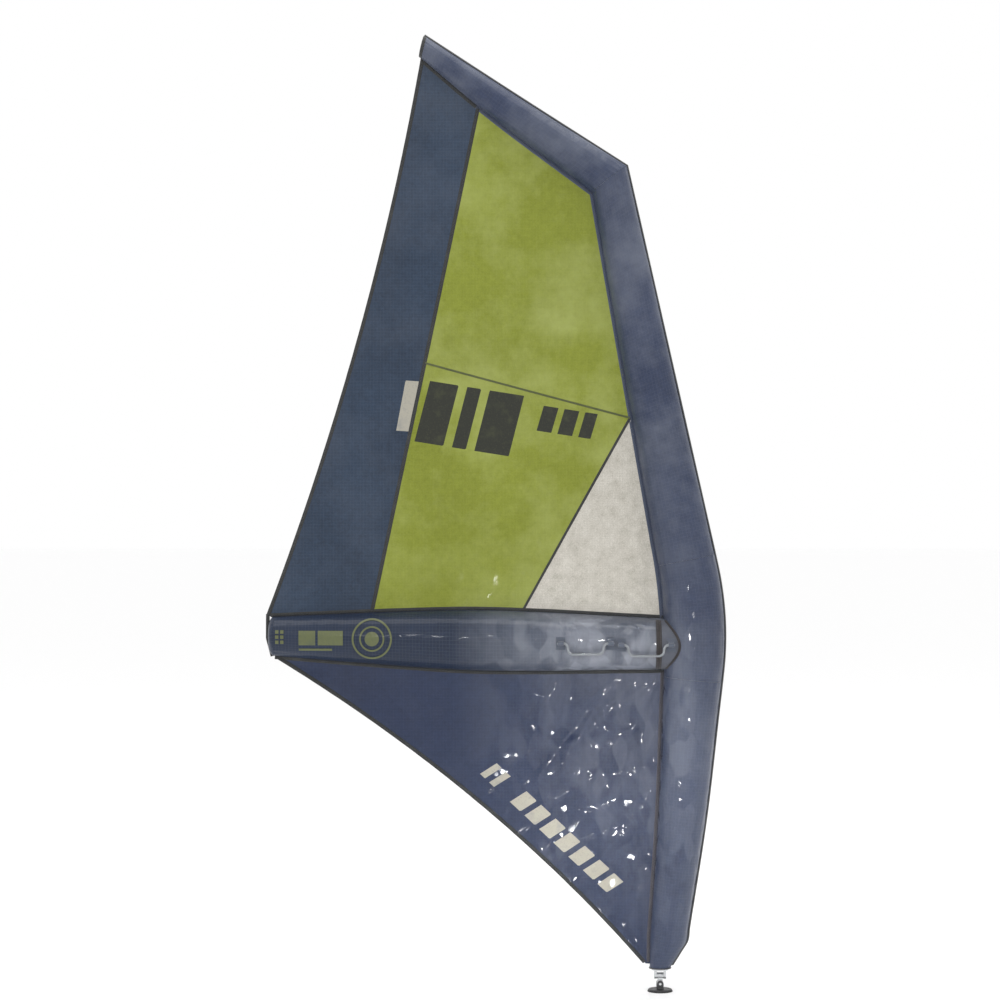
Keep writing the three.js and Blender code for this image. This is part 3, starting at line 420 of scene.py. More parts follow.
# ---------- mesh building ----------
class Build:
    """Collects grids, caps and stitches for one piece, with the cloth's own coordinates at each point."""

    def __init__(self):
        self.points, self.cloth, self.faces, self.slots, self.count = [], [], [], [], 0

    def add_points(self, points, cloth=None):
        points = np.asarray(points, float).reshape(-1, 3)
        cloth = points[:, [0, 2]] if cloth is None else np.asarray(cloth, float).reshape(-1, 2)
        self.points.append(points)
        self.cloth.append(cloth)
        first = self.count
        self.count += len(points)
        return first

    def add_faces(self, faces, slot=0):
        self.faces.extend(faces)
        self.slots.extend([slot] * len(faces))

    def grid(self, points, cloth=None, slot=0, around=True, closed=False, flip=False):
        """Quads over a grid of points, rows of points by default joined end to end as rings are."""
        points = np.asarray(points, float)
        rows, columns = points.shape[:2]
        first = self.add_points(points, cloth)
        index = first + np.arange(rows * columns).reshape(rows, columns)
        if around:
            index = np.hstack([index, index[:, :1]])
        if closed:
            index = np.vstack([index, index[:1]])
        quads = np.stack([index[:-1, :-1], index[:-1, 1:], index[1:, 1:], index[1:, :-1]], axis=-1)
        quads = quads.reshape(-1, 4)
        self.add_faces((quads[:, ::-1] if flip else quads).tolist(), slot)
        return index

    def open_where(self, inside):
        """Take out the faces whose corners are all inside."""
        kept = [i for i, face in enumerate(self.faces) if not all(inside[k] for k in face)]
        self.faces = [self.faces[i] for i in kept]
        self.slots = [self.slots[i] for i in kept]

    def cap(self, ring, centre, slot=0, flip=False):
        """A fan over a ring of point numbers."""
        middle = self.add_points([centre])
        ring = list(ring)
        for a, b in zip(ring, ring[1:] + ring[:1]):
            self.add_faces([[middle, b, a] if flip else [middle, a, b]], slot)

    def stitches(self, centres, ways, outs, long, wide=0.0009, slot=1):
        """Short rounded threads lying on a surface: their middles, directions and the surface's normals."""
        ways = unit(ways)
        outs = unit(outs)
        across = np.cross(ways, outs)
        half, side = ways * long / 2, wide / 2
        shape = [
            centres - half - outs * side * 0.6,
            centres + half - outs * side * 0.6,
            centres - half * 0.45 + across * side,
            centres + half * 0.45 + across * side,
            centres - half * 0.45 + outs * side * 1.2,
            centres + half * 0.45 + outs * side * 1.2,
            centres - half * 0.45 - across * side,
            centres + half * 0.45 - across * side,
        ]
        first = self.add_points(np.stack(shape, axis=1))
        ends = [[0, 2, 4], [0, 4, 6], [1, 5, 3], [1, 7, 5]]
        plan = [*ends, [2, 3, 5, 4], [4, 5, 7, 6], [0, 6, 2], [1, 3, 7], [2, 6, 7, 3]]
        for k in range(len(centres)):
            self.add_faces([[first + 8 * k + i for i in face] for face in plan], slot)

    def piece(self, name, body, materials, replaced=(), sharp=50):
        """The finished object, riding on its body in place of the CAD nodes it stands for."""
        mesh = bpy.data.meshes.new(name)
        mesh.from_pydata(np.vstack(self.points), [], self.faces)
        for material in materials:
            mesh.materials.append(material)
        mesh.polygons.foreach_set("material_index", np.array(self.slots, np.int32))
        mesh.polygons.foreach_set("use_smooth", np.ones(len(self.faces), bool))
        cloth = mesh.attributes.new("cloth", "FLOAT_VECTOR", "POINT")
        flat = np.zeros((self.count, 3), np.float32)
        flat[:, :2] = np.vstack(self.cloth)
        cloth.data.foreach_set("vector", flat.ravel())
        mesh.update()
        mesh.set_sharp_from_angle(angle=math.radians(sharp))
        made = bpy.data.objects.new(name, mesh)
        bpy.context.scene.collection.objects.link(made)
        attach(made, body)
        if replaced:
            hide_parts(*replaced)
        return made


# ---------- materials ----------
def linear(red, green, blue):
    """A colour given as 0 to 255 screen values, as the shader wants it."""
    shares = [value / 255 for value in (red, green, blue)]
    return (*[((share + 0.055) / 1.055) ** 2.4 for share in shares], 1)


class Shader:
    """A material and short ways to add nodes to it."""

    def __init__(self, name, roughness, coat=0.0, coat_roughness=0.1, sheen=0.0, metallic=0.0, specular=0.5):
        self.material = bpy.data.materials.new(name)
        self.material.use_nodes = True
        self.tree = self.material.node_tree
        self.surface = self.tree.nodes["Principled BSDF"]
        self.surface.inputs["Coat Weight"].default_value = coat
        self.surface.inputs["Coat Roughness"].default_value = coat_roughness
        self.surface.inputs["Sheen Weight"].default_value = sheen
        self.surface.inputs["Metallic"].default_value = metallic
        self.surface.inputs["Specular IOR Level"].default_value = specular
        self.surface.inputs["Roughness"].default_value = roughness
        self.place = self.put("ShaderNodeTexCoord", output="Object")
        self.cloth = self.put("ShaderNodeAttribute", output="Vector", attribute_name="cloth")

    def put(self, kind, inputs=None, output=0, **settings):
        """A new node's output. Inputs are numbers, colours or other nodes' outputs."""
        node = self.tree.nodes.new(kind)
        for key, value in settings.items():
            setattr(node, key, value)
        for key, value in (inputs or {}).items():
            if isinstance(value, bpy.types.NodeSocket):
                self.tree.links.new(value, node.inputs[key])
            else:
                node.inputs[key].default_value = value
        return node.outputs[output]

    def math(self, operation, a, b=0.0, c=0.0):
        return self.put("ShaderNodeMath", {0: a, 1: b, 2: c}, operation=operation)

    def times(self, a, b):
        return self.math("MULTIPLY", a, b)

    def times_plus(self, a, b, c):
        return self.math("MULTIPLY_ADD", a, b, c)

    def larger(self, a, b):
        return self.math("MAXIMUM", a, b)

    def noise(self, scale, detail=2.0, rough=0.5, where=None, distortion=0.0):
        inputs = {
            "Vector": self.place if where is None else where,
            "Scale": scale,
            "Detail": detail,
            "Roughness": rough,
            "Distortion": distortion,
        }
        return self.put("ShaderNodeTexNoise", inputs)

    def range(self, value, low, high, to_low=0.0, to_high=1.0):
        inputs = {"Value": value, "From Min": low, "From Max": high, "To Min": to_low, "To Max": to_high}
        return self.put("ShaderNodeMapRange", inputs)

    def blend(self, factor, a, b, kind="MIX"):
        inputs = {0: factor, 6: a, 7: b}
        return self.put("ShaderNodeMix", inputs, output=2, data_type="RGBA", blend_type=kind)

    def split(self, vector):
        node = self.tree.nodes.new("ShaderNodeSeparateXYZ")
        self.tree.links.new(vector, node.inputs[0])
        return node.outputs

    def bump(self, height, distance, strength=1.0, under=None):
        inputs = {"Height": height, "Distance": distance, "Strength": strength}
        if under is not None:
            inputs["Normal"] = under
        return self.put("ShaderNodeBump", inputs)

    def set(self, socket, value):
        self.tree.links.new(value, self.surface.inputs[socket])

    def colours(self, share, first, second):
        """The base colour goes from the first to the second screen colour with share."""
        self.set("Base Color", self.blend(share, linear(*first), linear(*second)))

    def roughness(self, grain, low, high):
        """The roughness goes from low to high with a noise's value."""
        self.set("Roughness", self.range(grain, 0.3, 0.7, low, high))

    def relief(self, height, distance, strength, under=None, socket="Normal"):
        self.set(socket, self.bump(height, distance, strength, under))

    def weave(self, pitch):
        """Threads over and under each other, from 0 to 1, with the cloth's own coordinates."""
        across, along, _ = self.split(self.cloth)
        turns = 2 * math.pi / pitch
        warp = self.math("SINE", self.times(across, turns))
        weft = self.math("SINE", self.times(along, turns))
        return self.times_plus(self.times(warp, weft), 0.5, 0.5)

    def grid_lines(self, pitch, width):
        """1 on the stronger threads that cross every pitch, 0 between them."""
        across, along, _ = self.split(self.cloth)
        lines = []
        for coordinate in (across, along):
            saw = self.math("PINGPONG", coordinate, pitch / 2)
            lines.append(self.math("LESS_THAN", saw, width / 2))
        return self.larger(*lines)


def shaken(shader, scale, by):
    """The place moved about by noise, so that straight patterns wander."""
    noise_inputs = {"Vector": shader.place, "Scale": scale, "Detail": 2.0}
    shift = shader.put("ShaderNodeTexNoise", noise_inputs, output=1)
    moved = {0: shift, 1: (by, by, by), 2: shader.place}
    return shader.put("ShaderNodeVectorMath", moved, operation="MULTIPLY_ADD")


def crumpled_region(shader):
    """1 below and round the front of the boom, where the film is most crumpled, and 0 far from there."""
    x, _, z = shader.split(shader.place)
    across = shader.times(shader.range(x, -0.50, -0.20), shader.range(x, 0.16, 0.05, 0.25, 1.0))
    upwards = shader.times(shader.range(z, 0.10, 0.36, 0.3, 1.0), shader.range(z, 1.10, 0.84))
    return shader.times(across, upwards)


def film_crinkle(shader):
    """The height of the crinkles in a clear film, with straight folds between small facets."""
    cells = {"Vector": shaken(shader, 7.0, 0.05), "Scale": 17.0}
    folds = shader.put("ShaderNodeTexVoronoi", cells, feature="DISTANCE_TO_EDGE")
    soft = shader.noise(8.0, 2.0, 0.5)
    reach = shader.times_plus(crumpled_region(shader), 0.85, 0.15)
    both = shader.times_plus(shader.range(folds, 0.0, 0.2), 0.22, soft)
    return shader.times(both, reach)


def painted_film_reflection(shader, strength, reflection_clouds, even_reflection):
    """Painted reflections of a crumpled film: the share of the base colour that goes to the pale grey.

    Pale creased facets in the crumpled region, soft cloudlike patches all over, stronger from about one metre
    up.
    The last argument is the share of the region's painted reflection that lies even between the facets.
    """
    _, _, height = shader.split(shader.place)
    x, y, z = shader.split(shaken(shader, 7.0, 0.05))
    drawn = shader.put("ShaderNodeCombineXYZ", {"X": x, "Y": y, "Z": shader.times(z, 0.5)})
    tones = []
    for scale, soft in ((10.0, 0.30), (29.0, 0.30)):
        cells = {"Vector": drawn, "Scale": scale, "Smoothness": soft}
        tone = shader.put("ShaderNodeTexVoronoi", cells, output="Color", feature="SMOOTH_F1")
        tones.append(shader.split(tone)[0])
    facets = shader.times_plus(tones[0], 0.55, shader.times(tones[1], 0.45))
    patches = shader.noise(9.0, 7.0, 0.68, where=drawn, distortion=0.5)
    both = shader.times_plus(facets, 0.42, shader.times(patches, 0.58))
    # Painted reflection: pale facets of the crumpled film in the crumpled region, with an even share between
    # them.
    creased = shader.range(both, 0.38, 0.64, even_reflection, 1.0)
    creased = shader.times(creased, crumpled_region(shader))
    # Painted reflection in soft cloudlike patches all over, stronger from about one metre up.
    cloud_reflection = shader.range(shader.noise(4.5, 5.0, 0.62), 0.42, 0.68)
    cloud_reflection = shader.times(cloud_reflection, shader.range(height, 0.95, 1.25, 0.6, 1.0))
    creased = shader.times(creased, strength)
    return shader.larger(creased, shader.times(cloud_reflection, reflection_clouds))


def sailcloth(name, colour, deep, pale, reflection_strength, reflection_clouds, even_reflection=0.0):
    """Laminated cloth: woven yarn with uneven dye under a clear, slightly crinkled film, with painted
    reflections of that film.
    """
    coat = 0.3
    shader = Shader(name, 0.5, coat=coat, coat_roughness=0.13, specular=0.12)
    yarn = shader.noise(330.0, 2.0, 0.7)
    blotch = shader.noise(75.0, 3.0, 0.6)
    tone = shader.noise(5.0, 2.0)
    mottled = shader.times_plus(yarn, 0.55, shader.times(blotch, 0.45))
    uneven = shader.times_plus(tone, 0.5, mottled)
    share = shader.range(uneven, 0.55, 0.95)
    woven = shader.times_plus(shader.weave(0.0011), 0.12, share)
    dyed = shader.blend(woven, linear(*deep), linear(*colour))
    lines = shader.times(shader.grid_lines(0.008, 0.0006), 0.10)
    ripstop = shader.blend(lines, dyed, linear(*pale))
    # Painted reflection: the base colour goes to the pale grey in patches, standing in for light off the
    # crinkled film. The pale colour is also the ripstop's threads.
    reflection_share = painted_film_reflection(shader, reflection_strength, reflection_clouds, even_reflection)
    shader.set("Base Color", shader.blend(reflection_share, ripstop, linear(*pale)))
    shader.roughness(blotch, 0.42, 0.60)
    height = shader.times_plus(shader.grid_lines(0.008, 0.0007), 0.8, shader.weave(0.0011))
    shader.relief(height, 0.00012, 0.6)
    shader.set("Coat Weight", shader.times_plus(crumpled_region(shader), 0.5, coat))
    shader.relief(film_crinkle(shader), 0.013, 0.9, socket="Coat Normal")
    return shader.material


def window_film(name):
    """A clouded clear film with a fine net of threads in it."""
    shader = Shader(name, 0.36, coat=0.4, coat_roughness=0.05, specular=0.3)
    speckle = shader.noise(420.0, 2.0, 0.7)
    cloud = shader.noise(38.0, 4.0, 0.6)
    share = shader.times_plus(speckle, 0.6, shader.times(cloud, 0.4))
    base = shader.blend(shader.range(share, 0.32, 0.68), linear(163, 158, 146), linear(210, 206, 197))
    threads = shader.times(shader.grid_lines(0.006, 0.0005), 0.25)
    shader.set("Base Color", shader.blend(threads, base, linear(138, 134, 125)))
    shader.roughness(cloud, 0.24, 0.42)
    shader.relief(shader.grid_lines(0.006, 0.0006), 0.0002, 0.4)
    shader.relief(film_crinkle(shader), 0.003, 0.5, socket="Coat Normal")
    return shader.material


def tape_cloth(name, colour, worn, pitch=0.0009, coat=0.0):
    """Woven polyester tape, paler where it rubs."""
    shader = Shader(name, 0.75, coat=coat, coat_roughness=0.2, sheen=0.25)
    fibre = shader.noise(500.0, 2.0, 0.7)
    rub = shader.range(shader.noise(22.0, 4.0, 0.65), 0.50, 0.72)
    share = shader.times_plus(fibre, 0.35, shader.times(rub, 0.55))
    shader.colours(share, colour, worn)
    shader.roughness(fibre, 0.62, 0.88)
    across, along, _ = shader.split(shader.cloth)
    diagonal = shader.math("ADD", across, along)
    twill = shader.math("SINE", shader.times(diagonal, 2 * math.pi / (2 * pitch)))
    height = shader.times_plus(twill, 0.35, shader.weave(pitch))
    shader.relief(height, 0.00018, 0.7)
    return shader.material


def print_ink(name, colour, worn):
    """Screen-printed ink: the weave shows through, and it has worn thin in specks."""
    shader = Shader(name, 0.55, coat=0.35, coat_roughness=0.13, specular=0.3)
    specks = shader.range(shader.noise(260.0, 3.0, 0.7), 0.52, 0.70)
    scuffs = shader.range(shader.noise(31.0, 4.0, 0.6), 0.54, 0.72)
    share = shader.larger(shader.times(specks, 0.45), shader.times(scuffs, 0.5))
    shader.colours(share, colour, worn)
    shader.relief(shader.weave(0.0011), 0.0001, 0.5)
    shader.relief(film_crinkle(shader), 0.0035, 0.5, socket="Coat Normal")
    return shader.material


def thread(name, colour, worn):
    """Twisted sewing thread."""
    shader = Shader(name, 0.6, sheen=0.3)
    fibre = shader.noise(900.0, 2.0)
    shader.colours(fibre, colour, worn)
    shader.relief(fibre, 0.0001, 0.5)
    return shader.material


def webbing_cloth(name, colour, deep):
    """Flat woven webbing: chevrons of thick yarn with a bound edge."""
    shader = Shader(name, 0.8, sheen=0.3)
    across, along, _ = shader.split(shader.cloth)
    fold = shader.math("PINGPONG", across, 0.003)
    chevron = shader.math("SINE", shader.times(shader.math("ADD", along, fold), 2 * math.pi / 0.0018))
    fibre = shader.noise(700.0, 2.0, 0.7)
    ridge = shader.times_plus(chevron, 0.4, 0.5)
    share = shader.times_plus(fibre, 0.5, shader.times(ridge, 0.5))
    shader.colours(share, deep, colour)
    shader.roughness(fibre, 0.7, 0.92)
    shader.relief(shader.times_plus(fibre, 0.4, ridge), 0.0003, 0.7)
    return shader.material


def moulded_plastic(name, colour, worn, roughness=0.42):
    """Moulded nylon with a fine spark-eroded grain and scuffed edges."""
    shader = Shader(name, roughness)
    grain = shader.noise(1400.0, 2.0, 0.6)
    scuffs = shader.range(shader.noise(60.0, 5.0, 0.7, distortion=1.0), 0.58, 0.72)
    edge = shader.put("ShaderNodeNewGeometry", output="Pointiness")
    rubbed = shader.range(edge, 0.52, 0.60)
    share = shader.larger(shader.times(scuffs, 0.35), shader.times(rubbed, 0.5))
    shader.colours(share, colour, worn)
    shader.roughness(grain, roughness - 0.06, roughness + 0.12)
    soft_edge = shader.put("ShaderNodeBevel", {"Radius": 0.0006}, samples=4)
    shader.relief(grain, 0.00006, 0.5, under=soft_edge)
    return shader.material


def pad_rubber(name):
    shader = Shader(name, 0.8)
    grain = shader.noise(600.0, 3.0, 0.65)
    dust = shader.range(shader.noise(45.0, 4.0, 0.6), 0.50, 0.75)
    shader.colours(shader.times(dust, 0.5), (30, 30, 31), (74, 72, 69))
    shader.roughness(grain, 0.7, 0.92)
    shader.relief(grain, 0.0002, 0.6)
    return shader.material


def brushed_steel(name):
    """Turned and brushed stainless steel with faint water marks."""
    shader = Shader(name, 0.28, metallic=1.0)
    x, y, z = shader.split(shader.place)
    stretched = shader.put("ShaderNodeCombineXYZ", {"X": x, "Y": y, "Z": shader.times(z, 26.0)})
    brush = shader.noise(180.0, 3.0, 0.7, where=stretched)
    marks = shader.range(shader.noise(70.0, 4.0, 0.6), 0.55, 0.75)
    shader.colours(shader.times(marks, 0.4), (200, 202, 204), (150, 150, 148))
    shader.roughness(brush, 0.18, 0.40)
    soft_edge = shader.put("ShaderNodeBevel", {"Radius": 0.0004}, samples=4)
    shader.relief(brush, 0.00005, 0.5, under=soft_edge)
    return shader.material


def bladder_film(name):
    """Thin milky urethane film, slightly tacky and creased."""
    shader = Shader(name, 0.35, coat=0.4, coat_roughness=0.15)
    milk = shader.noise(30.0, 4.0, 0.6)
    shader.colours(milk, (168, 178, 184), (206, 212, 214))
    shader.roughness(milk, 0.28, 0.46)
    shader.relief(film_crinkle(shader), 0.002, 0.5)
    return shader.material


# The third colour of each cloth is both its ripstop threads and its painted reflections; the numbers after it
# set how strong the painted reflections are.
PALE_THREAD_AND_REFLECTION_GREY = (124, 129, 141)
LOOKS = {
    "tube": sailcloth("tube_cloth", (57, 66, 90), (43, 51, 72), PALE_THREAD_AND_REFLECTION_GREY, 0.36, reflection_clouds=0.46),
    "boom": sailcloth("boom_cloth", (36, 47, 68), (28, 37, 54), (140, 144, 154), 0.9, reflection_clouds=0.05, even_reflection=0.35),
    "leech": sailcloth("leech_cloth", (49, 64, 84), (35, 46, 62), PALE_THREAD_AND_REFLECTION_GREY, 0.3, reflection_clouds=0.10),
    "foot": sailcloth("foot_cloth", (44, 55, 82), (33, 41, 64), (102, 106, 119), 0.45, reflection_clouds=0.16),
    "green": sailcloth("green_cloth", (134, 143, 52), (114, 122, 36), (168, 176, 106), 0.5, reflection_clouds=0.62),
    "window": window_film("window_film"),
    "tape": tape_cloth("seam_tape", (34, 35, 36), (62, 63, 62)),
    "brown_tape": tape_cloth("mast_foot_tape", (60, 57, 64), (80, 79, 86)),
    "blue_tape": tape_cloth("blue_tape", (64, 72, 92), (80, 88, 108)),
    "green_tape": tape_cloth("green_tape", (78, 86, 38), (100, 108, 54)),
    "patch": tape_cloth("reinforcing_cloth", (74, 78, 90), (90, 93, 102), coat=0.2),
    "joint_tape": tape_cloth("joint_tape", (36, 31, 32), (60, 54, 54)),
    "boom_patch": tape_cloth("boom_patch_cloth", (74, 81, 96), (90, 96, 108), coat=0.2),
    "dark_print": print_ink("dark_print", (30, 32, 22), (62, 66, 40)),
    "pale_print": print_ink("pale_print", (165, 161, 148), (124, 126, 130)),
    "olive_print": print_ink("olive_print", (92, 98, 62), (70, 78, 66)),
    "thread": thread("dark_thread", (46, 47, 49), (70, 72, 74)),
    "blue_thread": thread("blue_thread", (58, 68, 88), (80, 90, 110)),
    "webbing": webbing_cloth("grey_webbing", (152, 156, 160), (112, 116, 122)),
    "plastic": moulded_plastic("moulded_plastic", (30, 31, 33), (70, 71, 74)),
    "rubber": pad_rubber("pad_rubber"),
    "steel": brushed_steel("stainless_steel"),
    "bladder": bladder_film("bladder_film"),
}


# ---------- inflated tubes ----------
def tube_skin(stations, angles, along, lift):
    """The points of a tube's surface, moved out by lift(s, a): s along it, a round it."""
    reach, half = stations[:, None, 2:4], stations[:, None, 4]
    radius = np.linalg.norm(reach, axis=2) * 0.5 + half * 0.5
    grown = (radius + lift(along[:, None], angles[None, :])) / radius
    plan = stations[:, None, :2] + reach * np.cos(angles)[None, :, None] * grown[:, :, None]
    y = half * np.sin(angles)[None, :] * grown
    return np.stack([plan[:, :, 0], y, plan[:, :, 1] + TACK_Z], axis=-1)


def tube_cloth_coordinates(stations, angles, along):
    around = angles[None, :] * float(stations[:, 4].mean())
    return np.stack(np.broadcast_arrays(around, along[:, None]), axis=-1)


def tube_wrinkles(long, seed, start, end, inner_folds=0.0):
    """Slight unevenness all over, gathers at each end's seam, and folds on the inside of a bend."""

    def lift(s, a):
        s, a = np.broadcast_arrays(s, a)
        soft = np.array(
            [
                noise.noise(Vector((math.cos(t) * 1.4, math.sin(t) * 1.4, d * 9.0 + seed)))
                for d, t in zip(s.ravel(), a.ravel())
            ]
        ).reshape(s.shape)
        uneven = 0.5 + 0.5 * np.sin(5 * a + 7 * s + seed)
        near_start = start * np.exp(-s / 0.022) * np.sin(21 * a + seed) * (0.4 + 0.6 * uneven)
        near_end = end * np.exp(-(long - s) / 0.022) * np.sin(19 * a + 2 * seed) * (0.4 + 0.6 * uneven)
        made = 0.0007 * soft + 0.0009 * (near_start + near_end)
        if inner_folds:
            inside = smooth_step(-np.cos(a), 0.1, 0.9) * np.sin(math.pi * np.clip(s / long, 0, 1)) ** 0.7
            shift = 0.006 * np.sin(3 * a + 1.0) + 0.004 * soft
            made = made - inner_folds * inside * np.abs(np.sin(math.pi * (s + shift) / 0.036)) ** 0.6
        sewn = np.exp(-((np.sin(a) / 0.16) ** 2))
        return made * (1 - sewn)

    return lift


VALVE_MIDDLE = sum(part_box("valve_body"), Vector()) / 2


def behind_valve(points):
    """Which points lie behind the valve's flange, on the port side."""
    off = np.hypot(points[:, 0] - VALVE_MIDDLE.x, points[:, 2] - VALVE_MIDDLE.z)
    return (off < VALVE_CLEAR) & (points[:, 1] > 0)


def inflated_tube(name, node, stations, seed, gathers, inner_folds):
    """A sewn sleeve: a finely wrinkled outer skin with a plain lining a cloth's thickness inside it."""
    build = Build()
    angles = turns_round(TUBE_SIDES)
    along = length_along(stations[:, :2])
    lift = tube_wrinkles(along[-1], seed, gathers, 1.0, inner_folds)
    outer = tube_skin(stations, angles, along, lift)
    inner_rows = np.linspace(0, len(stations) - 1, 12).round().astype(int)
    valve_rows = [i for i in range(len(stations)) if behind_valve(outer[i]).any()]
    inner_rows = np.unique([*inner_rows, *valve_rows]).astype(int)[::-1]
    inner = tube_skin(stations[inner_rows], angles, along[inner_rows], lambda s, a: lift(s, a) - 0.0016)
    coordinates = [tube_cloth_coordinates(stations, angles, along)]
    coordinates.append(tube_cloth_coordinates(stations[inner_rows], angles, along[inner_rows]))
    build.grid(np.vstack([outer, inner]), np.vstack(coordinates), closed=True)
    build.open_where(behind_valve(np.vstack(build.points)))
    made = build.piece(name, "rig", [LOOKS["tube"]], [node])


def make_mast_and_head():
    shy = 0.0004 / TUBE_PITCH  # share of the first step left open between two sleeves
    for seed, part in enumerate(("lower", "bend", "upper", "head"), 1):
        stations = MAST[part].copy()
        if part != "lower":
            stations[0] = mix(stations[0], stations[1], shy)
        node = "head_sleeve" if part == "head" else f"mast_sleeve_{part}"
        gathers = 1.6 if part == "head" else 0.7
        folds = 0.0008 if part == "bend" else 0.0
        inflated_tube(node.replace("sleeve", "cloth"), node, stations, float(seed), gathers, folds)


def make_head_tip():
    """A cup of black tape sewn over the end of the head spar, in line with the leech's binding."""
    tip = MAST["head"][-1]
    way = np.array([-1, 0.3]) / math.hypot(1, 0.3)
    rows = [tube_grown(row, 0.0008) for row in MAST["head"][-2:]]
    for out, share in ((0.0012, 1.0), (0.0022, 0.93), (0.0028, 0.72), (0.0030, 0.35)):
        row = tube_grown(tip, 0.0008)
        row[:2] += way * out
        row[2:] *= share
        rows.append(row)
    rows = np.array(rows)
    angles = turns_round(64)
    along = length_along(rows[:, :2])
    gathers = tube_skin(rows, angles, along, lambda s, a: 0.0003 * np.sin(16 * a) * np.clip(s / 0.008, 0, 1))
    build = Build()
    index = build.grid(gathers, tube_cloth_coordinates(rows, angles, along))
    build.cap(index[0, :-1], gathers[0].mean(axis=0), flip=True)
    build.cap(index[-1, :-1], gathers[-1].mean(axis=0))
    made = build.piece("head_tip_tape", "rig", [LOOKS["tape"]], ["head_end_cap"])


def tube_grown(row, by):
    """A station with its skin moved out."""
    row = row.copy()
    row[2:4] *= 1 + by / np.linalg.norm(row[2:4])
    row[4] += by
    return row


def boom_point(x, a, lift=0.0):
    """A point of the boom's surface: x along it, a round it from the top towards starboard."""
    radius = boom_radius(x) + lift
    return np.stack([x + 0 * a, -radius * np.sin(a), boom_axis_h(x) + radius * np.cos(a) + TACK_Z], axis=-1)


def boom_meets_mast(a, lift=0.0):
    """Where the boom's surface runs into the mast, at each angle round the boom."""
    low, high = np.full_like(a, -0.06), np.full_like(a, 0.12)
    for _ in range(40):
        middle = (low + high) / 2
        radius = boom_radius(middle) + lift
        outside = mast_inside(middle, radius * np.sin(a), boom_axis_h(middle) + radius * np.cos(a)) > 0
        low, high = np.where(outside, middle, low), np.where(outside, high, middle)
    return low


def make_boom():
    """The boom's sleeve, fitted to the mast at its front."""
    angles = turns_round(TUBE_SIDES)
    meet = boom_meets_mast(angles) + 0.0010
    start_x = -0.060
    front = [mix(np.full_like(angles, start_x), meet, t) for t in np.linspace(1, 0, 14)[:-1]]
    rear = [np.full_like(angles, x) for x in np.linspace(start_x, BOOM_REAR[0], 145)]
    xs = np.array(front + rear)
    along = start_x + 0.1 - xs
    long = float(along.max())
    lift = tube_wrinkles(long, 7.0, 1.2, 1.2)(np.clip(along, 0, None), angles[None, :])
    outer = boom_point(xs, angles[None, :], lift)
    rows = np.linspace(0, len(xs) - 1, 14).round().astype(int)[::-1]
    inner = boom_point(xs[rows], angles[None, :], lift[rows] - 0.0012)
    around = np.broadcast_to(angles[None, :] * 0.062, xs.shape)
    coordinates = np.stack([around, along], axis=-1)
    build = Build()
    build.grid(np.vstack([outer, inner]), np.vstack([coordinates, coordinates[rows]]), closed=True)
    made = build.piece("boom_cloth", "rig", [LOOKS["boom"]], ["boom_sleeve"])


def make_boom_end():
    """The domed clew end of the boom, gathered towards its middle."""
    angles = turns_round(TUBE_SIDES)
    build = Build()
    end_radius = BOOM_RADII[-1]
    rings, places = [], []
    for t in np.linspace(0, 1, 14):
        out = GAP + (BOOM_CAP - GAP) * math.sin(t * math.pi / 2)
        radius = end_radius * (0.12 + 0.88 * math.cos(t * math.pi / 2) ** 0.7)
        gather = 0.0010 * t * np.sin(18 * angles) + 0.0004 * np.sin(7 * angles + 5 * t)
        radii = radius + gather
        x = np.full_like(angles, BOOM_REAR[0] - out)
        z = BOOM_REAR[1] + radii * np.cos(angles) + TACK_Z
        rings.append(np.stack([x, -radii * np.sin(angles), z], axis=-1))
        places.append(np.stack([angles * 0.04, np.full_like(angles, t * 0.05)], axis=-1))
    index = build.grid(np.array(rings), np.array(places))
    build.cap(index[0, :-1], rings[0].mean(axis=0), flip=True)
    build.cap(index[-1, :-1], rings[-1].mean(axis=0) + [-0.0005, 0, 0])
    made = build.piece("boom_end_cloth", "rig", [LOOKS["boom"]], ["boom_end_cap"])


# ---------- sail panels ----------
def inside(polygon, points):
    """Which points lie in a polygon."""
    x, y = points[:, 0], points[:, 1]
    hit = np.zeros(len(points), bool)
    for (ax, ay), (bx, by) in zip(polygon, np.roll(polygon, -1, axis=0)):
        crosses = (ay > y) != (by > y)
        if ay != by:
            hit ^= crosses & (x < (bx - ax) * (y - ay) / (by - ay) + ax)
    return hit


def clear_of(lines, points, distance):
    """Which points are further than a distance from every polygon's edge."""
    free = np.ones(len(points), bool)
    for polygon in lines:
        for a, b in zip(polygon, np.roll(polygon, -1, axis=0)):
            way = b - a
            t = np.clip(((points - a) @ way) / max(float(way @ way), 1e-12), 0, 1)
            free &= np.hypot(*(points - a - t[:, None] * way).T) > distance
    return free


def tidy_polygon(parts, pitch):
    """One closed polygon of evenly spaced points from lines laid end to end."""
    made = []
    for part in parts:
        made.extend(resample(np.array(part, float), pitch)[:-1])
    return np.array(made)


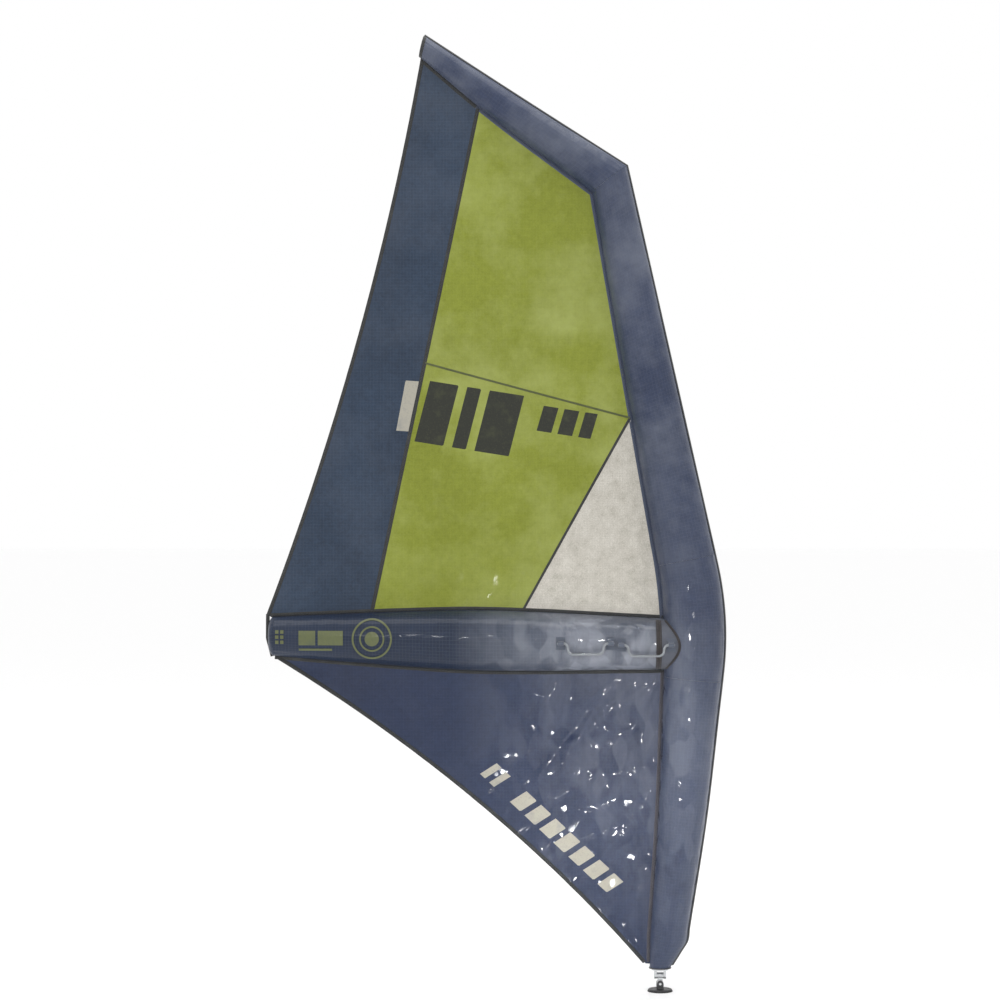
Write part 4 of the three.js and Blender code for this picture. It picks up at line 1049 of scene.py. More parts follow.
def triangulate(outline, marks, pitch):
    """Even triangles inside an outline, with the edges of each mark kept. Each has its mark's number or 0."""
    marks = [tidy_polygon([np.vstack([mark, mark[:1]])], pitch) for mark in marks]
    low, high = outline.min(axis=0), outline.max(axis=0)
    rows = np.arange(low[1], high[1], pitch * math.sqrt(3) / 2)
    columns = np.arange(low[0], high[0], pitch)
    grid = np.array([(x + (i % 2) * pitch / 2, h) for i, h in enumerate(rows) for x in columns])
    grid = grid[inside(outline, grid)]
    grid = grid[clear_of([outline, *marks], grid, 0.55 * pitch)]
    points, faces = [outline], [list(range(len(outline)))]
    count = len(outline)
    for mark in marks:
        faces.append(list(range(count, count + len(mark))))
        points.append(mark)
        count += len(mark)
    points = [Vector(p) for p in np.vstack([*points, grid])]
    made, _, triangles, _, _, sources = delaunay_2d_cdt(points, [], faces, 1, 1e-7, True)
    kept = [(list(triangle), max(source)) for triangle, source in zip(triangles, sources) if source]
    plan = np.array([tuple(p) for p in made])
    return plan, np.array([triangle for triangle, _ in kept]), np.array([source for _, source in kept])


def cloth_sheet(outline, marks):
    """A sheet of sailcloth with two faces and a rim, and its area. Marks are printed on both faces."""
    plan, triangles, sources = triangulate(outline, marks, CLOTH_PITCH)
    y = sail_y(plan[:, 0], plan[:, 1])
    build = Build()
    a, b, c = (plan[triangles[:, k]] for k in range(3))
    doubled = np.cross(b - a, c - a)
    triangles = np.where((doubled > 0)[:, None], triangles, triangles[:, ::-1])
    for side in (-1, 1):
        points = np.column_stack([plan[:, 0], y + side * CLOTH_THICK / 2, plan[:, 1] + TACK_Z])
        first = build.add_points(points)
        ordered = triangles if side < 0 else triangles[:, ::-1]
        for number in range(len(marks) + 1):
            chosen = ordered[sources == number]
            build.add_faces((chosen + first).tolist(), min(number, 1))
    edges = np.vstack([triangles[:, [0, 1]], triangles[:, [1, 2]], triangles[:, [2, 0]]])
    known = {(a, b) for a, b in edges.tolist()}
    count = len(plan)
    rim = [[b, a, a + count, b + count] for a, b in known if (b, a) not in known]
    build.add_faces(rim)
    return build, float(np.abs(doubled).sum() / 2)


def parallelogram(x, h, wide, tall, lean=0.0, turn=0.0):
    """A bar from its lower left corner, leaning over by lean at the top, all turned by an angle."""
    corners = np.array([[0, 0], [wide, 0], [wide + lean, tall], [lean, tall]])
    cosine, sine = math.cos(turn), math.sin(turn)
    return corners @ np.array([[cosine, sine], [-sine, cosine]]) + [x, h]


def boom_line(start, end, line, off=SEAM_OFF, count=160):
    xs = np.linspace(start, end, count)
    return np.column_stack([xs, line(xs, off)])


def luff_line(start, end, reach=0.0, count=200):
    """Along the mast's seam, or moved from it towards the mast by a reach."""
    hs = np.linspace(start, end, count)
    return np.column_stack([luff_x(hs) + reach, hs])


def head_line(start, end, reach=0.0, count=120):
    """Along the head's seam, or moved up from it towards the head spar by a reach."""
    xs = np.linspace(start, end, count)
    return np.column_stack([xs, head_h(xs) + reach])


def leech_line(start, end, inset=LEECH_INSET, count=200):
    hs = np.linspace(start, end, count)
    return np.column_stack([leech_x(hs, inset), hs])


def body_marks():
    """Plain slanted bars across the body panels, three broad and three small. They spell nothing."""
    turn = math.radians(-9)
    bars = []
    for x, wide in ((-0.590, 0.070), (-0.500, 0.034), (-0.446, 0.084)):
        bars.append(parallelogram(x, 1.262 + (x + 0.590) * math.tan(turn), wide, 0.150, 0.014, turn))
    for x, wide in ((-0.296, 0.036), (-0.246, 0.036), (-0.196, 0.030)):
        bars.append(parallelogram(x, 1.288 + (x + 0.296) * math.tan(turn), wide, 0.062, 0.008, turn))
    return bars


def foot_marks():
    """A row of pale slanted dashes along the foot."""
    turn = math.radians(-43)
    way = np.array([math.cos(turn), math.sin(turn)])
    start = np.array([-0.432, 0.462])
    marks = []
    dashes = [(0.0, 0.016), (0.030, 0.016)]
    dashes += [(0.098 + 0.048 * i, 0.034) for i in range(6)]
    dashes.append((0.386, 0.030))
    for at, wide in dashes:
        x, h = start + way * at
        marks.append(parallelogram(x, h, wide, 0.046, 0.012, turn))
    return marks


def make_panel(name, node, parts, marks, materials):
    """One panel of the sail, a sheet of cloth with its marks printed on both faces."""
    outline = tidy_polygon(parts, CLOTH_PITCH)
    build, area = cloth_sheet(outline, marks)
    made = build.piece(name, "rig", materials, [node])
    return made


def drawn_out(a, b, before, after):
    """The ends of a straight line made longer at each end."""
    a, b = np.array(a, float), np.array(b, float)
    way = (b - a) / np.linalg.norm(b - a)
    return a - way * before, b + way * after


def make_panels():
    """The five panels of the sail. Together they are one continuous curved surface."""
    under = SEAM_OFF - EDGE_OFF
    leech_foot, leech_head = drawn_out(*LEECH_SEAM, under, under)
    split, peak = drawn_out(BODY_SPLIT, WINDOW_PEAK, 0, under)
    window_foot, _ = drawn_out(WINDOW_FOOT, WINDOW_PEAK, under * 1.15, 0)
    meet_h = float(boom_top(BOOM_MEET_X, EDGE_OFF))
    top_h = LUFF_TOP[1] + 0.7 * under
    blue = [LOOKS["leech"], LOOKS["pale_print"]]
    leech_mark = [parallelogram(-0.634, 1.288, 0.032, 0.122, 0.014, math.radians(-4))]
    make_panel(
        "leech_panel_cloth",
        "leech_panel",
        [
            boom_line(CLEW_X, leech_foot[0], boom_top, EDGE_OFF),
            [leech_foot, leech_head],
            head_line(leech_head[0], HEAD_END_X, under),
            leech_line(HEAD_END_H + under, CLEW_H - under),
        ],
        leech_mark,
        blue,
    )
    green = [LOOKS["green"], LOOKS["dark_print"]]
    upper_marks, lower_marks = split_marks(body_marks(), split, peak)
    make_panel(
        "body_upper_cloth",
        "body_panel_upper",
        [
            [split, peak],
            luff_line(peak[1], top_h, under),
            head_line(LUFF_TOP[0] + under, leech_head[0], under),
            [leech_head, split],
        ],
        upper_marks,
        green,
    )
    make_panel(
        "body_lower_cloth",
        "body_panel_lower",
        [
            boom_line(leech_foot[0], window_foot[0], boom_top, EDGE_OFF),
            [window_foot, peak],
            [peak, split],
            [split, leech_foot],
        ],
        lower_marks,
        green,
    )
    make_panel(
        "window_panel_film",
        "window_panel",
        [
            boom_line(window_foot[0], BOOM_MEET_X + under, boom_top, EDGE_OFF),
            luff_line(meet_h, peak[1], under),
            [peak, window_foot],
        ],
        [],
        [LOOKS["window"]],
    )
    inner_foot = foot_curve(LEECH_INSET)
    below = inner_foot[:, 1] < boom_bottom(inner_foot[:, 0], EDGE_OFF) - 0.0004
    inner_foot = inner_foot[int(np.argmax(below)) :]
    foot_top = (float(inner_foot[0, 0]), float(boom_bottom(inner_foot[0, 0], EDGE_OFF)))
    tack_x = float(luff_x(inner_foot[-1, 1])) + under
    make_panel(
        "foot_panel_cloth",
        "foot_panel",
        [
            [*inner_foot, (tack_x, float(inner_foot[-1, 1]))],
            luff_line(float(inner_foot[-1, 1]), float(boom_bottom(FOOT_MEET_X, EDGE_OFF)), under),
            boom_line(FOOT_MEET_X + under, foot_top[0], boom_bottom, EDGE_OFF),
            [foot_top, inner_foot[0]],
        ],
        foot_marks(),
        [LOOKS["foot"], LOOKS["pale_print"]],
    )


def split_marks(marks, a, b):
    """Cuts bars along the line a to b, into what is above it and what is below it, clear of the seam."""
    parts = ([], [])
    for mark in marks:
        for k, sign in enumerate((1, -1)):
            kept = clip_polygon(mark, a, b, sign, FINE_SEAM / 2)
            if len(kept) > 2:
                parts[k].append(kept)
    return parts


def clip_polygon(polygon, a, b, sign, margin):
    """The part of a polygon on one side of a line, at least a margin from it."""
    _, off, _ = along_and_off(polygon[:, 0], polygon[:, 1], a, b)
    off = sign * off - margin
    kept = []
    for i, point in enumerate(polygon):
        j = (i + 1) % len(polygon)
        if off[i] > 0:
            kept.append(point)
        if (off[i] > 0) != (off[j] > 0):
            kept.append(mix(point, polygon[j], off[i] / (off[i] - off[j])))
    return np.array(kept)


# ---------- tapes, bindings and stitching ----------
def line_frame(line):
    """The unit directions along a plan line and across it."""
    way = np.gradient(line, axis=0)
    way = unit(way)
    return way, np.column_stack([-way[:, 1], way[:, 0]])


TAPE_SECTION = (  # round the tape: share of its half width, share of its thickness
    (-1, 0.25),
    (-1, -0.25),
    (-0.86, -0.46),
    (0.86, -0.46),
    (1, -0.25),
    (1, 0.25),
    (0.86, 0.46),
    (-0.86, 0.46),
)


def sewn_tape(node, line, width, materials, seed, change=None):
    """A tape folded over a seam on both faces of the sail, with zigzag stitching down each face.

    Its thickness lies within the CAD tape's. Its second material starts at the share change of its length."""
    line = resample(np.array(line, float), 0.004)
    along = length_along(line)
    _, across = line_frame(line)
    wander = 1 + 0.05 * np.array([noise.noise(Vector((s * 30, seed, 0))) for s in along])
    rings, cloth = [], []
    for side, face in TAPE_SECTION:
        plan = line + across * (side * width / 2 * wander)[:, None]
        y = sail_y(plan[:, 0], plan[:, 1]) + face * TAPE_THICK
        rings.append(np.column_stack([plan[:, 0], y, plan[:, 1] + TACK_Z]))
        cloth.append(np.column_stack([np.full_like(along, side * width / 2 + face * 0.001), along]))
    rings, cloth = np.stack(rings, axis=1), np.stack(cloth, axis=1)
    build = Build()
    index = build.grid(rings, cloth, flip=True)
    build.cap(index[0, :-1], rings[0].mean(axis=0))
    build.cap(index[-1, :-1], rings[-1].mean(axis=0), flip=True)
    if change is not None:
        steps = len(line) - 1
        share = np.repeat(np.arange(steps) / steps, len(TAPE_SECTION))
        for k in np.nonzero(share >= change)[0]:
            build.slots[k] = 1
    zigzag(build, line, width * 0.62, TAPE_THICK * 0.47, len(materials) - 1)
    made = build.piece(f"{node}_tape", "rig", materials, [node])


def zigzag(build, line, width, off, slot):
    """Zigzag stitching along a plan line on both faces of the sail."""
    pitch = 0.0034
    line = resample(line, pitch)
    _, across = line_frame(line)
    swing = np.where(np.arange(len(line)) % 2 == 0, 1.0, -1.0)[:, None]
    corners = line + across * swing * width / 2
    starts, ends = corners[:-1], corners[1:]
    middles = (starts + ends) / 2
    y = sail_y(middles[:, 0], middles[:, 1])
    first, last = sail_y(starts[:, 0], starts[:, 1]), sail_y(ends[:, 0], ends[:, 1])
    ways = np.column_stack([ends[:, 0] - starts[:, 0], last - first, ends[:, 1] - starts[:, 1]])
    for face in (-1, 1):
        centres = np.column_stack([middles[:, 0], y + face * off, middles[:, 1] + TACK_Z])
        outs = square_to(np.tile([0.0, float(face), 0.0], (len(middles), 1)), ways)
        build.stitches(centres, ways, outs, float(np.hypot(width, pitch)) * 0.92, slot=slot)


def make_tapes():
    """The bindings on the sail's free edges and the tapes over its seams. Those beside a tube lap onto it."""
    lap, wide = 0.0008, TUBE_SEAM + 0.0025
    black = [LOOKS["tape"], LOOKS["thread"]]
    blue = [LOOKS["blue_tape"], LOOKS["blue_thread"]]
    brown = [LOOKS["brown_tape"], LOOKS["thread"]]
    green = [LOOKS["green_tape"], LOOKS["thread"]]
    blue_and_black = [LOOKS["blue_tape"], *black]
    leech = leech_line(CLEW_TOP[1] + 0.002, HEAD_END_H + 0.012)
    foot = foot_curve(LEECH_INSET)
    clew_end = (CLEW_BOTTOM[0] + 0.001, CLEW_BOTTOM[1])
    clew = [(CLEW_TOP[0] + 0.005, CLEW_TOP[1] + 0.005), (CLEW_TOP[0] + 0.0045, 0.79), clew_end]
    window_foot_h = float(boom_top(BOOM_MEET_X, SEAM_OFF))
    upper_mast = luff_line(window_foot_h - 0.006, LUFF_TOP[1] + 0.002, lap)
    lower_mast = luff_line(0.012, float(boom_bottom(FOOT_MEET_X, SEAM_OFF)) + 0.006, lap)
    head = head_line(LUFF_TOP[0] + 0.002, HEAD_END_X + 0.002, lap)
    over_boom = boom_line(CLEW_X + 0.005, BOOM_MEET_X + 0.004, boom_top, SEAM_OFF - lap)
    under_boom = boom_line(float(foot[0, 0]) + 0.004, FOOT_MEET_X + 0.004, boom_bottom, SEAM_OFF - lap)
    black_from = (LUFF_TOP[0] - LEECH_SEAM_TOP_X) / (LUFF_TOP[0] - HEAD_END_X)
    tapes = (
        ("leech_binding", leech, BROAD_SEAM, black, "seam_tape"),
        ("foot_binding", foot[3:-1], BROAD_SEAM, black, "seam_tape"),
        ("clew_binding", clew, BROAD_SEAM, black, "seam_tape"),
        ("mast_seam_upper", upper_mast, wide, blue, "seam_tape"),
        ("mast_seam_lower", lower_mast, wide, brown, "seam_tape"),
        ("head_seam", head, wide, blue_and_black, "seam_tape"),
        ("boom_seam_upper", over_boom, wide, black, "seam_tape"),
        ("boom_seam_lower", under_boom, wide, black, "seam_tape"),
        ("leech_seam", LEECH_SEAM, BROAD_SEAM, black, "seam_tape"),
        ("body_seam", [BODY_SPLIT, WINDOW_PEAK], FINE_SEAM, green, "green_cloth"),
        ("window_seam", [WINDOW_FOOT, WINDOW_PEAK], FINE_SEAM + 0.001, black, "seam_tape"),
    )
    for seed, (node, line, width, materials, slot) in enumerate(tapes, 1):
        change = black_from if materials is blue_and_black else None
        sewn_tape(node, line, width, materials, float(seed), change)


RUB_HALF = ((0.0080, 0.0), (0.0076, 0.0013), (0.0062, 0.0023), (0.0036, 0.0034))  # across, up
RUB_SECTION = (*[(-y, up) for y, up in RUB_HALF], (0.0, 0.0039), *RUB_HALF[::-1])


def rub_strip(node, stations, seed):
    """A padded strip along the outer edge of a tube, domed, with a row of stitches down each side."""
    along = length_along(stations[:, :2])
    rings, cloth = [], []
    for y, up in RUB_SECTION:
        fall = stations[:, 4] - np.sqrt(stations[:, 4] ** 2 - y**2)
        inward = unit(stations[:, 2:4])
        plan = edge_of(stations, 1, 0.0006 + up) - inward * fall[:, None]
        side = y * (1 + 0.04 * np.sin(along * 40 + seed))
        rings.append(np.column_stack([plan[:, 0], side, plan[:, 1] + TACK_Z]))
        cloth.append(np.column_stack([np.full_like(along, y), along]))
    rings, cloth = np.stack(rings, axis=1), np.stack(cloth, axis=1)
    build = Build()
    index = build.grid(rings, cloth)
    build.cap(index[0, :-1], rings[0].mean(axis=0), flip=True)
    build.cap(index[-1, :-1], rings[-1].mean(axis=0))
    for k in (2, 6):
        row = resample(rings[:, k], 0.0045)
        ways = np.diff(row, axis=0)
        middles = (row[1:] + row[:-1]) / 2
        outs = square_to(np.tile([1.0, -1.0 if k == 2 else 1.0, 0.0], (len(ways), 1)), ways)
        build.stitches(middles, ways, outs, 0.0030)
    made = build.piece(f"{node}_pad", "rig", [LOOKS["tape"], LOOKS["thread"]], [node])


def make_rub_strips():
    """The strips on the front of the mast and the top of the head spar meet at the corner's mitre."""
    mast, head = WHOLE_MAST[1:].copy(), MAST["head"].copy()
    mast[-1] = mix(mast[-2], mast[-1], 0.96)
    head[0] = mix(head[0], head[1], 0.04)
    rub_strip("mast_rub_strip", mast, 1.0)
    rub_strip("head_rub_strip", head, 2.0)


# ---------- the joint of boom and mast ----------
def make_joint_patches():
    """D-shaped patches over the joint, with a dark band aft and a tape where the tubes meet."""
    for name, side in SIDES:
        sign = 1 if side < 0 else -1  # angles round the boom run towards starboard
        angles = np.linspace(math.radians(24), math.radians(156), 45)
        fore = boom_meets_mast(angles, 0.0010) - 0.0006
        aft = np.full_like(angles, JOINT_PATCH_AFT)
        build = Build()
        for slot, front, rows, lift in ((0, fore, 22, 0.0005), (1, aft + JOINT_BAND, 8, 0.0016)):
            xs = np.array([mix(aft, front, t) for t in np.linspace(0, 1, rows)])
            outer = boom_point(xs, sign * angles[None, :], lift + 0.0010)
            inner = boom_point(xs, sign * angles[None, :], lift)
            shell_patch(build, outer, inner, sign, xs, angles, slot)
        for x in (JOINT_PATCH_AFT + 0.003, JOINT_PATCH_AFT + 0.010):
            line = boom_point(np.full_like(angles, x), sign * angles, 0.0028)
            stitch_line(build, line, boom_outs(line), slot=2)
        curve = boom_point(fore - 0.001, sign * angles, 0.0022)
        rope_tape(build, curve, 0.0062, 0.0020, slot=1)
        curve = boom_point(fore - 0.006, sign * angles, 0.0018)
        stitch_line(build, curve, boom_outs(curve), slot=2)
        looks = [LOOKS["patch"], LOOKS["joint_tape"], LOOKS["thread"]]
        made = build.piece(f"boom_joint_{name}_cloth", "rig", looks, [f"boom_joint_patch_{name}"])


def boom_outs(points):
    """The boom's outward direction at points on its surface."""
    outs = np.zeros_like(points)
    outs[:, 1] = points[:, 1]
    outs[:, 2] = points[:, 2] - TACK_Z - boom_axis_h(points[:, 0])
    return outs


def shell_patch(build, outer, inner, sign, xs, angles, slot=0):
    """Two grids of the same shape and the rim between them."""
    cloth = np.stack([np.broadcast_to(angles[None, :] * 0.06, xs.shape), xs], axis=-1)
    a = build.grid(outer, cloth, slot, around=False, flip=sign < 0)
    b = build.grid(inner, cloth, slot, around=False, flip=sign > 0)
    loop_a = [*a[0, :-1], *a[:-1, -1], *a[-1, :0:-1], *a[:0:-1, 0]]
    loop_b = [*b[0, :-1], *b[:-1, -1], *b[-1, :0:-1], *b[:0:-1, 0]]
    for i in range(len(loop_a)):
        j = (i + 1) % len(loop_a)
        face = [int(loop_a[i]), int(loop_a[j]), int(loop_b[j]), int(loop_b[i])]
        build.add_faces([face if sign < 0 else face[::-1]], slot)


def stitch_line(build, line, outs, slot, pitch=0.0045, long=0.0031):
    """Straight stitching along a line of points, the surface's normals given at each."""
    at = length_along(line)
    places = np.arange(pitch / 2, at[-1] - pitch / 2, pitch)
    if len(places) == 0:
        return
    middles = np.column_stack([np.interp(places, at, line[:, k]) for k in range(3)])
    ends = np.column_stack([np.interp(places + pitch / 3, at, line[:, k]) for k in range(3)])
    normals = np.column_stack([np.interp(places, at, outs[:, k]) for k in range(3)])
    ways = ends - middles
    build.stitches(middles, ways, square_to(normals, ways), long, slot=slot)


def rope_tape(build, line, wide, thick, slot):
    """A flat rounded cord along a line of points."""
    way = unit(np.gradient(line, axis=0))
    out = boom_outs(line)
    out -= way * np.sum(out * way, axis=1, keepdims=True)
    out = unit(out)
    across = np.cross(way, out)
    turns = turns_round(10)
    rings = line[:, None] + across[:, None] * np.cos(turns)[None, :, None] * wide / 2
    rings = rings + out[:, None] * np.sin(turns)[None, :, None] * thick / 2
    at = length_along(line)
    cloth = np.stack(np.broadcast_arrays(turns[None, :] * 0.001, at[:, None]), axis=-1)
    index = build.grid(rings, cloth, slot)
    build.cap(index[0, :-1], line[0], slot, flip=True)
    build.cap(index[-1, :-1], line[-1], slot)


# ---------- prints on the boom ----------
def make_boom_prints():
    """A plain ring with a dot, two bars and a small grid, printed on each side of the boom's clew end."""
    centre = np.array([-0.689, 0.790])
    turns = turns_round(72)
    circle = np.column_stack([np.cos(turns), np.sin(turns)])
    for name, side in SIDES:
        build = Build()
        for outer, inner in ((0.048, 0.0435), (0.017, 0.0005), (0.030, 0.026)):
            rings = [centre + radius * circle for radius in (outer, inner)]
            ink(build, np.stack(rings), side, around=True)
        bars = [(-0.864, 0.775, 0.040, 0.034), (-0.818, 0.775, 0.060, 0.034), (-0.864, 0.762, 0.080, 0.005)]
        bars += [(-0.920 + 0.012 * i, 0.778 + 0.012 * k, 0.008, 0.008) for i in range(2) for k in range(3)]
        for x, h, wide, tall in bars:
            steps_x, steps_h = max(2, int(wide / 0.004)), max(3, int(tall / 0.0025))
            xs, hs = np.meshgrid(np.linspace(x, x + wide, steps_x), np.linspace(h, h + tall, steps_h))
            ink(build, np.stack([xs, hs], axis=-1), side, around=False)
        made = build.piece(f"boom_print_{name}", "rig", [LOOKS["olive_print"]])


def ink(build, plan, side, around):
    """A layer of ink laid on the boom's side over a grid of plan points."""
    x, h = plan[..., 0], plan[..., 1]
    rise = (h - boom_axis_h(x)) / boom_radius(x)
    angle = np.arccos(np.clip(rise, -0.98, 0.98))
    sign = 1 if side < 0 else -1
    points = boom_point(x, angle * sign, 0.0011)
    low = boom_point(x, angle * sign, 0.0005)
    build.grid(points, plan, around=around, flip=False)
    build.grid(low, plan, around=around, flip=True)


# ---------- hand loops ----------
PATCH_HALF = 0.015  # an anchor patch's half height
PATCH_EDGE = 0.004  # how far the patch stands out past the wrap
WRAP_THICK, WRAP_PLAY = 0.0016, 0.0008
ON_BOOM, ON_JOINT_PATCH = 0.0004, 0.0024  # how high an anchor lies over the boom's skin


def strap_rings(path, sides=24):
    """Rounded flat sections along a path of (x, z, y half width, half thickness) rows."""
    way = unit(np.gradient(path[:, :2], axis=0))
    turns = turns_round(sides)
    cosine, sine = np.cos(turns), np.sin(turns)
    flat_cos = np.sign(cosine) * np.abs(cosine) ** 0.6
    flat_sin = np.sign(sine) * np.abs(sine) ** 0.6
    x = path[:, 0, None] - way[:, 1, None] * flat_cos * path[:, 3, None]
    z = path[:, 1, None] + way[:, 0, None] * flat_cos * path[:, 3, None]
    y = flat_sin * path[:, 2, None]
    return np.stack([x, y, z], axis=-1), turns


def make_hand_loops():
    """Webbing loops: rolled to a cord in their anchors, opening to a flat padded grip between them."""
    half = HANDLE_THICK / 2
    keys = [
        (0.0, 0.0, half * 0.8, half * 0.8),
        (0.003, 0.0, half, half),
        (HANDLE_TAB - 0.002, 0.0, half, half),
        (HANDLE_TAB + 0.003, -0.003, half + 0.001, half * 0.9),
        (HANDLE_TAB + HANDLE_LEG - 0.003, -HANDLE_DROP + 0.004, half + 0.003, half * 0.85),
        (HANDLE_TAB + HANDLE_LEG + 0.005, -HANDLE_DROP, HANDLE_WIDTH / 2 - 0.002, half * 0.8),
        (HANDLE_TAB + HANDLE_LEG + 0.014, -HANDLE_DROP, HANDLE_WIDTH / 2, half * 0.8),
    ]
    mirrored = [(HANDLE_LENGTH - x, z, wide, thick) for x, z, wide, thick in reversed(keys)]
    path = spline(keys + mirrored, 0.0015)
    path[:, 1] = np.clip(path[:, 1], -HANDLE_DROP, 0)
    for name, start, h in HANDLES:
        low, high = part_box(f"handle_{name}_port")
        flank = (low.y + high.y) / 2 - HANDLE_OFFSET
        for side_name, side in SIDES:
            place = np.array([start, side * (flank + HANDLE_OFFSET), TACK_Z + h])
            rings, turns = strap_rings(path)
            rings = rings + place
            at = length_along(path[:, :2])
            cloth = np.stack(np.broadcast_arrays(turns[None, :] * 0.005, at[:, None]), axis=-1)
            build = Build()
            index = build.grid(rings, cloth)
            build.cap(index[0, :-1], rings[0].mean(axis=0), flip=True)
            build.cap(index[-1, :-1], rings[-1].mean(axis=0))
            grip = (path[:, 2] > HANDLE_WIDTH / 2 - 0.003) & (path[:, 1] < -HANDLE_DROP + 0.002)
            for y_share in (-0.72, 0.72):
                for face in (-1, 1):
                    x, z, half_width, half_thick = path[grip].T
                    line = np.column_stack([x, half_width * y_share, z + face * half_thick]) + place
                    outs = np.tile([0.0, 0.0, float(face)], (len(line), 1))
                    stitch_line(build, line, outs, slot=1)
            node = f"handle_{name}_{side_name}"
            looks = [LOOKS["webbing"], LOOKS["thread"]]
            made = build.piece(f"{node}_webbing", f"{node}_loop", looks, [node])
            make_anchors(name, side_name, side, start, h, flank)


def make_anchors(name, side_name, side, start, h, flank):
    """The stitched patches on the boom and the webbing that wraps each end of a hand loop."""
    sign = 1 if side < 0 else -1
    width = HANDLE_TAB - 0.005
    for end, x0 in (("aft", start + 0.001), ("fore", start + HANDLE_LENGTH - HANDLE_TAB + 0.004)):
        on_joint = x0 > JOINT_PATCH_AFT - width
        lift = ON_JOINT_PATCH if on_joint else ON_BOOM
        build = Build()
        anchor_patch(build, x0, width, h, lift, sign)
        wrap_strip(build, wrap_section(flank, lift), x0, width, side, h)
        anchor_stitches(build, x0, width, h, lift, sign)
        node = f"handle_{name}_{side_name}_anchor_{end}"
        looks = [LOOKS["boom_patch"], LOOKS["boom_patch"], LOOKS["thread"]]
        made = build.piece(f"{node}_cloth", "rig", looks, [node])


def boom_angle(x, h):
    """The angle round the boom at which its side stands at a height."""
    return np.arccos((h - boom_axis_h(x)) / boom_radius(x))


def anchor_patch(build, x0, width, h, lift, sign):
    """The patch that lies on the boom behind the wrap."""
    rise = np.linspace(h - PATCH_HALF, h + PATCH_HALF, 14)
    xs = np.linspace(x0 - PATCH_EDGE, x0 + width + PATCH_EDGE, 12)
    grid_x, grid_h = np.meshgrid(xs, rise, indexing="ij")
    angle = boom_angle(grid_x, grid_h) * sign
    outer = boom_point(grid_x, angle, lift + 0.0016)
    inner = boom_point(grid_x, angle, lift + 0.0004)
    shell_patch(build, outer, inner, -sign, grid_x, np.arange(14) * 0.002)


def wrap_section(flank, lift):
    """The wrap leaves the patch below the loop, goes round it and comes back to the patch above it."""
    y_loop = flank + HANDLE_OFFSET
    radius = HANDLE_THICK / 2 + WRAP_PLAY + WRAP_THICK / 2
    turn = np.linspace(-0.62 * math.pi, 0.62 * math.pi, 22)
    arc = [(y_loop + radius * math.cos(t), radius * math.sin(t)) for t in turn]
    foot = flank - 0.001 + lift + 0.0022
    knee = flank - 0.001 + lift + 0.0030
    section = [(foot, -0.0105), (knee, -0.0048), *arc, (knee, 0.0048), (foot, 0.0105)]
    return resample(np.array(section), 0.0008)


def anchor_stitches(build, x0, width, h, lift, sign):
    """Short rows that hold the wrap down, and one row round the patch's border."""
    for edge in (0.0022, width - 0.0022):
        for level in (-0.0088, 0.0088):
            middle = x0 + edge
            line = boom_line_points(middle - 0.0022, middle + 0.0022, h + level, lift + 0.0036, sign)
            stitch_line(build, line, boom_outs(line), slot=2, pitch=0.0028, long=0.0022)
    inset = 0.0015
    aft, fore = x0 - PATCH_EDGE + inset, x0 + width + PATCH_EDGE - inset
    low, high = h - PATCH_HALF + inset, h + PATCH_HALF - inset
    border = [(aft, low), (fore, low), (fore, high), (aft, high)]
    for a, b in zip(border, border[1:] + border[:1]):
        plan = straight(a, b, 12)
        line = boom_point(plan[:, 0], boom_angle(plan[:, 0], plan[:, 1]) * sign, lift + 0.0018)
        stitch_line(build, line, boom_outs(line), slot=2, pitch=0.0032, long=0.0024)


def boom_line_points(x0, x1, h, lift, sign):
    xs = np.linspace(x0, x1, 6)
    return boom_point(xs, boom_angle(xs, h) * sign, lift)


def wrap_strip(build, section, x0, width, side, h):
    """A band of webbing with a given section in the plane across the boom, as wide as the loop's anchor."""
    way = np.gradient(section, axis=0)
    way = unit(way)
    out = np.column_stack([way[:, 1], -way[:, 0]])
    at = length_along(section)
    edges = [(0.0, 0.35), (0.0008, 0.5), (width - 0.0008, 0.5), (width, 0.35)]
    ring = [(x, share) for x, share in edges] + [(x, -share) for x, share in reversed(edges)]
    rows, cloth = [], []
    for x, share in ring:
        place = section + out * share * WRAP_THICK
        y, z = side * place[:, 0], TACK_Z + h + place[:, 1]
        rows.append(np.column_stack([np.full(len(place), x0 + x), y, z]))
        cloth.append(np.column_stack([np.full(len(place), x), at]))
    rows, cloth = np.stack(rows, axis=1), np.stack(cloth, axis=1)
    index = build.grid(rows, cloth, slot=1, flip=side > 0)
    build.cap(index[0, :-1], rows[0].mean(axis=0), 1, flip=side < 0)
    build.cap(index[-1, :-1], rows[-1].mean(axis=0), 1, flip=side > 0)


# ---------- springs ----------
SPRINGS = (  # node, joint, turns, half the wire, and the end that stays: 1 to port, -1 to starboard
    ("lock_spring", "lock_pull", 5, 0.00055, 1),
    ("valve_spring", "valve_push", 4, 0.0006, -1),
)


